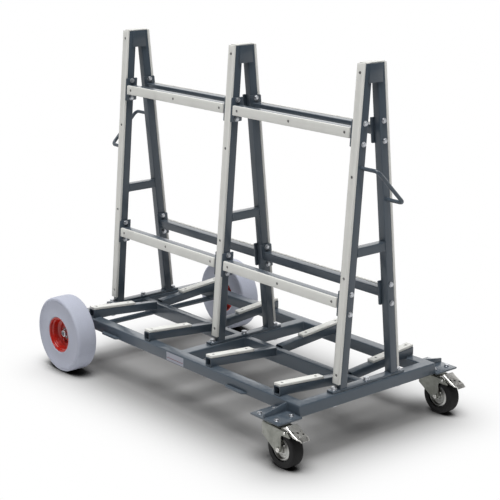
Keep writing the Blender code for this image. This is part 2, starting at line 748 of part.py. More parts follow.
def build_strips(rubber):
    """The pale strips on the legs, on the longitudinal tubes and on the arms."""
    for side_name, side in SIDES.items():
        frame = lean_frame(side)
        for x, name in zip(FRAME_PLACES, FRAME_NAMES):
            strip = block(
                (x - TUBE / 2, 0.0, LEG_STRIP_START),
                (x + TUBE / 2, STRIP_THICKNESS, FRAME_TOP + SINK),
                frame, corner=STRIP_CHAMFER, along=2, segments=1,
            )
            sub_part(f"leg_strip_{side_name}_{name}", strip, rubber, smooth=False)
        for bay, bay_name in enumerate(("wheel_bay", "caster_bay")):
            start = FRAME_PLACES[bay] + TUBE_STRIP_MARGIN
            end = FRAME_PLACES[bay + 1] - TUBE_STRIP_MARGIN
            for level, level_name in ((LOWER_TUBE_HEIGHT, "lower"), (UPPER_TUBE_HEIGHT, "upper")):
                strip = block(
                    (start, 0.0, level - STRIP_WIDTH / 2),
                    (end, STRIP_THICKNESS, level + STRIP_WIDTH / 2),
                    frame, corner=STRIP_CHAMFER, along=0, segments=1,
                )
                sub_part(f"{level_name}_strip_{side_name}_{bay_name}", strip, rubber, smooth=False)
        for number, x in enumerate(ARM_PLACES, start=1):
            strip = block(
                (x - TUBE / 2, ARM_STRIP_START, TUBE + GAP),
                (x + TUBE / 2, ARM_STRIP_END, TUBE + GAP + STRIP_THICKNESS),
                arm_frame(side), corner=STRIP_CHAMFER, along=1, segments=1,
            )
            sub_part(f"arm_strip_{side_name}_{number}", strip, rubber, smooth=False)


# Handles

def rounded_route(points, radius, steps):
    """A route through points with each inner corner replaced by an arc of the bend radius."""
    route = [points[0]]
    for before, corner, after in zip(points, points[1:], points[2:]):
        back = (before - corner).normalized()
        ahead = (after - corner).normalized()
        half_angle = back.angle(ahead) / 2
        tangent = radius / math.tan(half_angle)
        centre = corner + (back + ahead).normalized() * (radius / math.sin(half_angle))
        first = corner + back * tangent - centre
        last = corner + ahead * tangent - centre
        for i in range(steps + 1):
            share = i / steps
            arm = first.slerp(last, share)
            route.append(centre + arm.normalized() * radius)
    route.append(points[-1])
    return route


def build_handle(name, end_sign, paint):
    """A bent round bar from a high place on one leg to a lower place on the other."""
    face = end_sign * (FRAME_PITCH + TUBE / 2 + GAP)
    tip = end_sign * HANDLE_TIP
    depth = TUBE_DEPTH_START + TUBE / 2
    high = lean_point(-end_sign, face, depth, HANDLE_HIGH)
    low = lean_point(end_sign, face, depth, HANDLE_LOW)
    points = [high, Vector((tip, high.y, high.z)), Vector((tip, low.y, low.z)), low]
    route = rounded_route(points, HANDLE_BEND, HANDLE_BEND_STEPS)
    curve = bpy.data.curves.new(name, "CURVE")
    curve.dimensions = "3D"
    curve.bevel_depth = HANDLE_RADIUS
    curve.bevel_resolution = HANDLE_RESOLUTION
    curve.use_fill_caps = True
    spline = curve.splines.new("POLY")
    spline.points.add(len(route) - 1)
    for point, place in zip(spline.points, route):
        point.co = (*place, 1.0)
    sub_part(name, to_mesh_object(make_object(name, curve)), paint)


# Large wheels

def shoulder(radius, half_width, round_radius, steps=2):
    """Points of a rounded tyre shoulder, from the side face to the tread, on the outer side."""
    turns = [i / steps * math.pi / 2 for i in range(steps + 1)]
    return [
        (radius + round_radius * (math.sin(turn) - 1), half_width + round_radius * (math.cos(turn) - 1))
        for turn in turns
    ]


def tyre_profile(radius, half_width, bead_radius, round_radius, bead_lead):
    """A tyre's section: bead, side face, rounded shoulder and tread, the same on both sides."""
    half = [(bead_radius, half_width - bead_lead), (bead_radius + bead_lead, half_width)]
    half += shoulder(radius, half_width, round_radius)
    return half + [(r, -t) for r, t in reversed(half)]


def rim_profile():
    """The pressed rim in section: barrel, stepped dish, disc and the hub tube with its two seats."""
    seat = BEARING_RADIUS + GAP
    inner_seat = HUB_INNER_END - BEARING_WIDTH
    barrel = RIM_RADIUS - RIM_SHEET
    disc = -RIM_DISC_DEPTH
    step = disc + RIM_STEP_RISE
    back = disc - 2 * RIM_SHEET
    return [
        (RIM_RADIUS, RIM_HALF_WIDTH),
        (RIM_RADIUS, -RIM_HALF_WIDTH),
        (barrel, -RIM_HALF_WIDTH),
        (barrel, back),
        (HUB_RADIUS, back),
        (HUB_RADIUS, -HUB_INNER_END),
        (seat, -HUB_INNER_END),
        (seat, -inner_seat),
        (HUB_BORE_RADIUS, -inner_seat),
        (HUB_BORE_RADIUS, HUB_OUTER_END - BEARING_WIDTH),
        (seat, HUB_OUTER_END - BEARING_WIDTH),
        (seat, HUB_OUTER_END),
        (HUB_RADIUS, HUB_OUTER_END),
        (HUB_RADIUS, disc),
        (RIM_STEP_RADIUS - RIM_SHEET, disc),
        (RIM_STEP_RADIUS, step),
        (RIM_DISH_RADIUS, step + RIM_SHEET),
        (barrel, RIM_HALF_WIDTH),
    ]


def bearing_profile():
    """A shielded ball bearing in section, its shields set in from both faces."""
    half = BEARING_WIDTH / 2
    bore = AXLE_RADIUS + GAP
    set_in = half - BEARING_GROOVE
    face = [
        (bore, half), (BEARING_INNER_RACE, half), (BEARING_INNER_RACE, set_in),
        (BEARING_OUTER_RACE, set_in), (BEARING_OUTER_RACE, half), (BEARING_RADIUS, half),
    ]
    return face + [(r, -t) for r, t in reversed(face)]


def build_large_wheel(side_name, finishes):
    """Tyre, rim and bearings on one wheel's axis, and the nut that holds it on the axle."""
    side = SIDES[side_name]
    centre_y = side * WHEEL_CENTRE_Y
    hinge = make_hinge(f"wheel_axis_{side_name}", (WHEEL_X, centre_y, AXLE_HEIGHT))
    frame = across_frame(WHEEL_X, centre_y, AXLE_HEIGHT, side)
    tyre = tyre_profile(
        TYRE_RADIUS, TYRE_HALF_WIDTH, TYRE_BEAD_RADIUS, TYRE_SHOULDER, TYRE_BEAD_LEAD
    )
    solid = turned(tyre, frame, TURN_STEPS)
    sub_part(f"wheel_tyre_{side_name}", solid, finishes["grey_rubber"], hinge)
    solid = turned(rim_profile(), frame, TURN_STEPS)
    sub_part(f"wheel_rim_{side_name}", solid, finishes["red_paint"], hinge)
    half = BEARING_WIDTH / 2
    for name, offset in (("outer", HUB_OUTER_END - half), ("inner", half - HUB_INNER_END)):
        place = across_frame(WHEEL_X, centre_y + side * offset, AXLE_HEIGHT, side)
        ring = turned(bearing_profile(), place, BEARING_STEPS)
        sub_part(f"wheel_bearing_{name}_{side_name}", ring, finishes["steel"], hinge)
    start = centre_y + side * (HUB_OUTER_END + GAP)
    washer_end = start + side * NUT_WASHER_THICKNESS
    nut = fuse([
        rod(
            (WHEEL_X, start, AXLE_HEIGHT), (WHEEL_X, washer_end, AXLE_HEIGHT),
            NUT_WASHER_RADIUS, AXLE_STEPS,
        ),
        hexagon(
            (WHEEL_X, washer_end - side * SINK, AXLE_HEIGHT),
            (WHEEL_X, washer_end + side * NUT_HEIGHT, AXLE_HEIGHT), NUT_FLATS,
        ),
    ], [rod(
        (WHEEL_X, start - side * OVERRUN, AXLE_HEIGHT),
        (WHEEL_X, washer_end + side * (NUT_HEIGHT + OVERRUN), AXLE_HEIGHT),
        AXLE_THREAD_RADIUS + GAP, AXLE_STEPS,
    )])
    sub_part(f"axle_nut_{side_name}", nut, finishes["zinc"])


def build_axle(paint):
    """The round axle bar: a collar inside each wheel and a thread for each nut."""
    wheel_inner = WHEEL_CENTRE_Y - HUB_INNER_END - GAP
    thread_start = WHEEL_CENTRE_Y + HUB_OUTER_END - SINK
    end = WHEEL_CENTRE_Y + HUB_OUTER_END + NUT_WASHER_THICKNESS + NUT_HEIGHT + SINK
    half = [
        (AXLE_RADIUS, wheel_inner - AXLE_COLLAR_WIDTH),
        (AXLE_COLLAR_RADIUS, wheel_inner - AXLE_COLLAR_WIDTH),
        (AXLE_COLLAR_RADIUS, wheel_inner),
        (AXLE_RADIUS, wheel_inner),
        (AXLE_RADIUS, thread_start),
        (AXLE_THREAD_RADIUS, thread_start),
        (AXLE_THREAD_RADIUS, end - AXLE_CHAMFER),
        (AXLE_THREAD_RADIUS - AXLE_CHAMFER, end),
        (0.0, end),
    ]
    profile = list(reversed(half)) + [(r, -t) for r, t in half]
    axle = turned(profile, across_frame(WHEEL_X, 0.0, AXLE_HEIGHT, 1), AXLE_STEPS)
    sub_part("wheel_axle", axle, paint)


# Casters

def build_caster_plate(side_name, zinc):
    """The mounting plate with its bolts, the upper race and the kingpin."""
    side = SIDES[side_name]
    y = side * CASTER_Y
    solids = [block(
        (CASTER_X - CASTER_PLATE_LENGTH / 2, y - CASTER_PLATE_WIDTH / 2, CASTER_PLATE_BOTTOM),
        (CASTER_X + CASTER_PLATE_LENGTH / 2, y + CASTER_PLATE_WIDTH / 2, CASTER_PLATE_TOP),
        corner=CASTER_PLATE_CORNER, along=2,
    )]
    pin_end = CROWN_BOTTOM - GAP
    profile = [
        (0.0, CASTER_PLATE_BOTTOM + SINK),
        (RACE_RADIUS, CASTER_PLATE_BOTTOM + SINK),
        (RACE_RADIUS, RACE_BOTTOM + RACE_RADIUS - RACE_LIP),
        (RACE_LIP, RACE_BOTTOM),
        (KINGPIN_RADIUS, RACE_BOTTOM),
        (KINGPIN_RADIUS, pin_end),
        (KINGPIN_HEAD_RADIUS, pin_end),
        (KINGPIN_HEAD_RADIUS, pin_end - KINGPIN_HEAD_HEIGHT),
        (0.0, pin_end - KINGPIN_HEAD_HEIGHT),
    ]
    solids.append(turned(profile, Matrix.Translation((CASTER_X, y, 0.0)), CASTER_STEPS))
    seat = RAIL_BOTTOM + BRACKET_THICKNESS + GAP
    for bolt_x, bolt_y in bracket_bolt_places(side):
        solids.append(rod(
            (bolt_x, bolt_y, CASTER_PLATE_BOTTOM + SINK), (bolt_x, bolt_y, seat + SINK),
            BOLT_RADIUS, BOLT_SIDES,
        ))
        solids.append(hexagon(
            (bolt_x, bolt_y, seat), (bolt_x, bolt_y, seat + BOLT_HEAD_HEIGHT), BOLT_HEAD_FLATS,
        ))
    sub_part(f"caster_plate_{side_name}", fuse(solids), zinc)


def fork_leg_outline():
    """One fork leg with the wing that carries the pedal, as (distance along X, height) points."""
    axle_x = CASTER_X + CASTER_TRAIL
    foot = [
        (
            axle_x + FORK_FOOT_RADIUS * math.sin(turn),
            CASTER_WHEEL_RADIUS - FORK_FOOT_RADIUS * math.cos(turn),
        )
        for turn in FORK_FOOT_TURNS
    ]
    top = CROWN_TOP - SINK
    wing_low = CROWN_TOP - WING_DEPTH
    return [
        (CASTER_X - FORK_REAR, top),
        (CASTER_X - FORK_REAR, CROWN_TOP - FORK_REAR_DROP),
        (axle_x - FORK_FOOT_REAR, CASTER_WHEEL_RADIUS - FORK_FOOT_RADIUS / 2),
        *foot,
        (axle_x + FORK_FOOT_RADIUS, wing_low),
        (CASTER_X + WING_END, wing_low),
        (CASTER_X + WING_END, wing_low + WING_TIP_RISE),
        (CASTER_X + WING_SHOULDER, CROWN_TOP - WING_SHOULDER_DROP),
        (CASTER_X + FORK_FRONT, top),
    ]


def build_caster_fork(side_name, hinge, zinc):
    """The pressed fork: crown, lower race and two legs with wings, bored for pin and axle."""
    y = SIDES[side_name] * CASTER_Y
    solids = [block(
        (CASTER_X - FORK_REAR + FLUSH_STEP, y - FORK_OUTER + FLUSH_STEP, CROWN_BOTTOM),
        (CASTER_X + FORK_FRONT - FLUSH_STEP, y + FORK_OUTER - FLUSH_STEP, CROWN_TOP),
    )]
    race = [
        (0.0, CROWN_TOP + LOWER_RACE_RISE),
        (LOWER_RACE_RADIUS, CROWN_TOP + LOWER_RACE_RISE),
        (LOWER_RACE_RADIUS + LOWER_RACE_RISE, CROWN_TOP - SINK),
        (0.0, CROWN_TOP - SINK),
    ]
    solids.append(turned(race, Matrix.Translation((CASTER_X, y, 0.0)), CASTER_STEPS))
    for edge in (-1, 1):
        centre = y + edge * (FORK_INNER + FORK_SHEET / 2)
        solids.append(plate(fork_leg_outline(), FORK_SHEET, upright_frame(centre)))
    axle_x = CASTER_X + CASTER_TRAIL
    reach = FORK_OUTER + OVERRUN
    cuts = [
        rod(
            (CASTER_X, y, CROWN_BOTTOM - OVERRUN),
            (CASTER_X, y, CROWN_TOP + LOWER_RACE_RISE + OVERRUN),
            KINGPIN_RADIUS + GAP, CASTER_STEPS,
        ),
        rod(
            (axle_x, y - reach, CASTER_WHEEL_RADIUS), (axle_x, y + reach, CASTER_WHEEL_RADIUS),
            CASTER_AXLE_RADIUS + GAP, BOLT_SIDES,
        ),
        rod(
            (CASTER_X + PEDAL_PIVOT_X, y - reach, PEDAL_PIVOT_Z),
            (CASTER_X + PEDAL_PIVOT_X, y + reach, PEDAL_PIVOT_Z),
            PEDAL_PIN_RADIUS + 2 * GAP, BOLT_SIDES,
        ),
    ]
    sub_part(f"caster_fork_{side_name}", fuse(solids, cuts), zinc, hinge)


def build_caster_wheel(side_name, swivel, finishes):
    """Core and tyre on the wheel's own axis, and the axle bolt that stays in the fork."""
    y = SIDES[side_name] * CASTER_Y
    axle_x = CASTER_X + CASTER_TRAIL
    place = (axle_x, y, CASTER_WHEEL_RADIUS)
    hinge = make_hinge(f"caster_wheel_axis_{side_name}", place, swivel)
    frame = across_frame(*place, 1)
    tyre = tyre_profile(
        CASTER_WHEEL_RADIUS, CASTER_TYRE_HALF_WIDTH, CASTER_TYRE_BORE,
        CASTER_TYRE_SHOULDER, CASTER_TYRE_LEAD,
    )
    solid = turned(tyre, frame, CASTER_STEPS)
    sub_part(f"caster_tyre_{side_name}", solid, finishes["black_rubber"], hinge)
    bore = CASTER_AXLE_RADIUS + GAP
    half = [
        (bore, CASTER_HUB_HALF_WIDTH),
        (CASTER_HUB_RADIUS, CASTER_HUB_HALF_WIDTH),
        (CASTER_HUB_RADIUS, CASTER_CORE_WEB),
        (CASTER_CORE_RIM - CASTER_CORE_WEB, CASTER_CORE_WEB),
        (CASTER_CORE_RIM, CASTER_CORE_HALF_WIDTH),
        (CASTER_CORE_RADIUS, CASTER_CORE_HALF_WIDTH),
    ]
    core = half + [(r, -t) for r, t in reversed(half)]
    solid = turned(core, frame, CASTER_STEPS)
    sub_part(f"caster_core_{side_name}", solid, finishes["zinc"], hinge)
    face = FORK_OUTER + GAP
    solids = [rod(
        (axle_x, y - face - SINK, CASTER_WHEEL_RADIUS),
        (axle_x, y + face + SINK, CASTER_WHEEL_RADIUS),
        CASTER_AXLE_RADIUS, BOLT_SIDES,
    )]
    for edge in (-1, 1):
        solids.append(hexagon(
            (axle_x, y + edge * face, CASTER_WHEEL_RADIUS),
            (axle_x, y + edge * (face + CASTER_AXLE_HEAD), CASTER_WHEEL_RADIUS), CASTER_AXLE_FLATS,
        ))
    sub_part(f"caster_axle_{side_name}", fuse(solids), finishes["zinc"], swivel)


def build_brake_pedal(side_name, swivel, steel):
    """The bent pedal plate, its cheeks beside the fork's wings and its pivot pin."""
    y = SIDES[side_name] * CASTER_Y
    pivot = (CASTER_X + PEDAL_PIVOT_X, y, PEDAL_PIVOT_Z)
    hinge = make_hinge(f"brake_pedal_axis_{side_name}", pivot, swivel)
    top = [
        (CASTER_X + PEDAL_REAR, CROWN_TOP + PEDAL_REAR_RISE),
        (CASTER_X + PEDAL_PIVOT_X, CROWN_TOP + PEDAL_CREST_RISE),
        (CASTER_X + PEDAL_VALLEY, CROWN_TOP - PEDAL_VALLEY_DROP),
        (CASTER_X + PEDAL_TOE, CROWN_TOP - PEDAL_TOE_DROP),
        (CASTER_X + PEDAL_TIP, CROWN_TOP - PEDAL_TIP_DROP),
    ]
    bend = top + [(x, z - PEDAL_SHEET) for x, z in reversed(top)]
    solids = [plate(bend, 2 * PEDAL_HALF_WIDTH, upright_frame(y))]
    cheek = [(x, z - PEDAL_SHEET / 2) for x, z in top[:3]] + [
        (CASTER_X + PEDAL_VALLEY - PEDAL_SHEET, CROWN_TOP - PEDAL_VALLEY_DROP - 2 * PEDAL_SHEET),
        (CASTER_X + PEDAL_PIVOT_X, CROWN_TOP - PEDAL_CHEEK_DROP),
        (CASTER_X + PEDAL_REAR, PEDAL_PIVOT_Z),
    ]
    for edge in (-1, 1):
        centre = y + edge * (PEDAL_HALF_WIDTH + GAP - PEDAL_SHEET / 2)
        solids.append(plate(cheek, PEDAL_SHEET, upright_frame(centre)))
    solids.append(rod(
        (pivot[0], y - PEDAL_HALF_WIDTH - SINK, PEDAL_PIVOT_Z),
        (pivot[0], y + PEDAL_HALF_WIDTH + SINK, PEDAL_PIVOT_Z), PEDAL_PIN_RADIUS, BOLT_SIDES,
    ))
    corners = []
    for edge in (-1, 1):
        ends = sorted((y + edge * PEDAL_LIP_HALF_WIDTH, y + edge * (PEDAL_HALF_WIDTH + OVERRUN)))
        corners.append(block(
            (CASTER_X + PEDAL_TOE, ends[0], CROWN_TOP - PEDAL_TIP_DROP - PEDAL_SHEET - OVERRUN),
            (CASTER_X + PEDAL_TIP + OVERRUN, ends[1], CROWN_TOP),
        ))
    sub_part(f"brake_pedal_{side_name}", fuse(solids, corners), steel, hinge)


def build_caster(side_name, finishes):
    """One caster from its mounting plate down."""
    build_caster_plate(side_name, finishes["zinc"])
    place = (CASTER_X, SIDES[side_name] * CASTER_Y, CROWN_TOP)
    swivel = make_hinge(f"caster_swivel_axis_{side_name}", place)
    build_caster_fork(side_name, swivel, finishes["zinc"])
    build_caster_wheel(side_name, swivel, finishes)
    build_brake_pedal(side_name, swivel, finishes["steel"])


def centre_on_floor():
    """Moves every piece and axis so that the origin is under the middle of the overall length."""
    for obj in bpy.data.collections[COLLECTION_NAME].objects:
        if obj.parent is None:
            obj.location.x += CENTRE_SHIFT


def clear_scene():
    """Starts from an empty scene with the buggy's own collection."""
    for obj in list(bpy.data.objects):
        bpy.data.objects.remove(obj)
    bpy.context.scene.collection.children.link(bpy.data.collections.new(COLLECTION_NAME))


def main():
    """Builds the whole buggy."""
    clear_scene()
    finishes = {
        "slate_paint": finish("slate_paint", (0.085, 0.10, 0.115), 0.55, 0.0),
        "pale_rubber": finish("pale_rubber", (0.50, 0.50, 0.47), 0.8, 0.0),
        "grey_rubber": finish("grey_rubber", (0.38, 0.39, 0.45), 0.75, 0.0),
        "black_rubber": finish("black_rubber", (0.02, 0.02, 0.02), 0.7, 0.0),
        "red_paint": finish("red_paint", (0.33, 0.02, 0.02), 0.35, 0.0),
        "zinc": finish("zinc", (0.35, 0.36, 0.34), 0.45, 1.0),
        "steel": finish("steel", (0.65, 0.65, 0.64), 0.3, 1.0),
    }
    paint = finishes["slate_paint"]
    build_chassis(paint)
    for x, name in zip(FRAME_PLACES, FRAME_NAMES):
        build_a_frame(name, x, paint)
    for side_name in SIDES:
        for bay in (0, 1):
            build_longitudinal_tube(side_name, "lower", bay, LOWER_TUBE_HEIGHT, paint)
            build_longitudinal_tube(side_name, "upper", bay, UPPER_TUBE_HEIGHT, paint)
    build_strips(finishes["pale_rubber"])
    build_handle("handle_caster_end", 1, paint)
    build_handle("handle_wheel_end", -1, paint)
    build_axle(paint)
    for side_name in SIDES:
        build_large_wheel(side_name, finishes)
        build_caster(side_name, finishes)
    centre_on_floor()


main()
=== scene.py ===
"""Dresses the slab buggy: fine steelwork, strips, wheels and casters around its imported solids.

Every sub-assembly is a class. Its sizes are in metres from the middle of the chassis, on the floor,
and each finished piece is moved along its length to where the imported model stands.
"""

import logging
import math
import random
from contextlib import contextmanager
from dataclasses import dataclass
from enum import Enum
from typing import Callable, Iterator, Sequence

import bmesh
import bpy
from mathutils import Matrix, Vector


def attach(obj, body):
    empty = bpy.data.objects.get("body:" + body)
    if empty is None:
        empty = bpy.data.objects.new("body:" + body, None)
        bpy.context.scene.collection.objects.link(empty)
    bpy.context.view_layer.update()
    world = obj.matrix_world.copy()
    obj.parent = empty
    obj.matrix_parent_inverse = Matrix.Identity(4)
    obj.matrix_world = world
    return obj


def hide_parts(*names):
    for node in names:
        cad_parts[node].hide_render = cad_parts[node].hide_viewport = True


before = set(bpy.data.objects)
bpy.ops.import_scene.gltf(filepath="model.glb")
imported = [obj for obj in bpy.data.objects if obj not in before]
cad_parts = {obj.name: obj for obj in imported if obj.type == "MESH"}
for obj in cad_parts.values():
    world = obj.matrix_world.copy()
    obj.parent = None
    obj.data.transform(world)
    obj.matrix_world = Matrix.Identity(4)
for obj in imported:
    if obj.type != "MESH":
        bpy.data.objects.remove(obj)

LOG = logging.getLogger("slab_buggy")
Place = tuple[float, float, float]
Point = tuple[float, float]
Outline = Sequence[Point]
Colour = tuple[float, float, float]
Solid = bpy.types.Object
ROOT = "root"
TOUCH = 0.0001
MERGE = TOUCH / 20
FINE_EDGE = 0.0004
BAR_EDGE = 0.0005
SHEET_EDGE = 0.0006
PLATE_EDGE = 0.0008
LIGHT_WELD_SHARE = 0.8
OVERLAP = 0.001
WELD_INSET = 0.003
BAYS = ("wheel_bay", "caster_bay")


class Side(Enum):
    """The two long sides of the buggy, each with the sign of its Y."""

    RIGHT = ("right", -1)
    LEFT = ("left", 1)

    @property
    def word(self) -> str:
        """The side's name as its nodes use it."""
        return self.value[0]

    @property
    def sign(self) -> int:
        """The sign of the side's Y."""
        return self.value[1]


class Axis(Enum):
    """The three directions of the buggy."""

    LENGTH = 0
    WIDTH = 1
    HEIGHT = 2


class Pick(Enum):
    """What a selection in edit mode holds: the mode's name and the mesh's table."""

    EDGES = ("EDGE", "edges")
    FACES = ("FACE", "faces")


class Slot(Enum):
    """The record's material slots."""

    PAINT = "slate_paint"
    STRIP = "pale_rubber"
    TYRE = "grey_tyre"
    BLACK = "black_tyre"
    RED = "red_paint"
    ZINC = "zinc_steel"
    BRIGHT = "bright_steel"


@dataclass(frozen=True)
class Plan:
    """Sizes that several sub-assemblies share."""

    shift: float = -0.001375
    gap: float = 0.0003
    deck: float = 0.190
    half_length: float = 0.640
    half_width: float = 0.3055
    rail: float = 0.040
    rail_corner: float = 0.004
    tube: float = 0.030
    tube_wall: float = 0.0025
    tube_corner: float = 0.003
    pitch: float = 0.620
    slope: float = math.tan(math.radians(5.0))
    strip_face: float = 0.1387
    strip_thickness: float = 0.009
    frame_top: float = 1.031
    lower_level: float = 0.283
    upper_level: float = 0.818
    arm_places: tuple[float, ...] = (-0.5255, -0.176, 0.176, 0.5255)
    arm_reach: float = 0.300
    wheel_x: float = -0.5635
    wheel_y: float = 0.385
    wheel_radius: float = 0.1397
    caster_x: float = 0.580
    caster_y: float = 0.352
    hub_outer: float = 0.006
    hub_inner: float = 0.036
    caster_trail: float = 0.048
    caster_radius: float = 0.0625

    @property
    def frame_places(self) -> dict[str, float]:
        """Where each A-frame stands along the length."""
        return {"wheel_end": -self.pitch, "middle": 0.0, "caster_end": self.pitch}

    @property
    def levels(self) -> dict[str, float]:
        """The tubes' heights over the deck."""
        return {"lower": self.lower_level, "upper": self.upper_level}

    @property
    def rail_low(self) -> float:
        """Height of the rails' undersides."""
        return self.deck - self.rail

    @property
    def rail_inner(self) -> float:
        """How far from the middle the side rails' inner faces are."""
        return self.half_width - self.rail

    @property
    def tube_start(self) -> float:
        """Depth of the tubes' outer face behind the strips' outer face."""
        return self.strip_thickness + self.gap

    def leaning(self, side: Side) -> Matrix:
        """Places (x, depth inward, height over the deck) on one leaning side.

        Args:
            side: The long side that leans.

        Returns:
            The shearing matrix of that side.
        """
        sign = side.sign
        return Matrix((
            (1.0, 0.0, 0.0, 0.0),
            (0.0, -sign, -sign * self.slope, sign * self.strip_face),
            (0.0, 0.0, 1.0, self.deck),
            (0.0, 0.0, 0.0, 1.0),
        ))

    def rising(self, side: Side) -> Matrix:
        """Places (x, distance from the middle, height over an arm's underside) on a tilted arm.

        Args:
            side: The long side that the arm reaches to.

        Returns:
            The shearing matrix of that side's arms.
        """
        return Matrix((
            (1.0, 0.0, 0.0, 0.0),
            (0.0, side.sign, 0.0, 0.0),
            (0.0, self.slope, 1.0, self.deck - OVERLAP - self.slope * self.rail_inner),
            (0.0, 0.0, 0.0, 1.0),
        ))

    def across(self, x: float, y: float, z: float, side: Side) -> Matrix:
        """Places a shape turned round Z on a line along Y, its height pointing outward.

        Args:
            x: Place along the length.
            y: Place across the width.
            z: Height of the line.
            side: The side that the shape's height points to.

        Returns:
            The placing matrix.
        """
        return Matrix.Translation((x, y, z)) @ Matrix.Rotation(-side.sign * math.pi / 2, 4, "X")


PLAN = Plan()


# Shader graphs

class Sock:
    """A shader socket that ordinary operators work on."""

    def __init__(self, graph: "Graph", socket: bpy.types.NodeSocket) -> None:
        """Holds one output socket of a graph."""
        self.graph = graph
        self.socket = socket

    def __add__(self, other: "Sock | float") -> "Sock":
        """The sum."""
        return self.graph.math("ADD", self, other)

    def __radd__(self, other: float) -> "Sock":
        """The sum, from the right."""
        return self.graph.math("ADD", other, self)

    def __sub__(self, other: "Sock | float") -> "Sock":
        """The difference."""
        return self.graph.math("SUBTRACT", self, other)

    def __rsub__(self, other: float) -> "Sock":
        """The difference, from the right."""
        return self.graph.math("SUBTRACT", other, self)

    def __mul__(self, other: "Sock | float") -> "Sock":
        """The product."""
        return self.graph.math("MULTIPLY", self, other)

    def __rmul__(self, other: float) -> "Sock":
        """The product, from the right."""
        return self.graph.math("MULTIPLY", other, self)

    def __pow__(self, other: float) -> "Sock":
        """The power."""
        return self.graph.math("POWER", self, other)

    def rise(self, low: float, high: float) -> "Sock":
        """A smooth step from 0 at low to 1 at high, or falling if low is above high.

        Args:
            low: The value that gives 0.
            high: The value that gives 1.

        Returns:
            The step's socket.
        """
        ends = {"Value": self, "From Min": min(low, high), "From Max": max(low, high)}
        ends |= {"To Min": float(low > high), "To Max": float(low < high)}
        return self.graph.node("ShaderNodeMapRange", {"interpolation_type": "SMOOTHSTEP"}, ends)


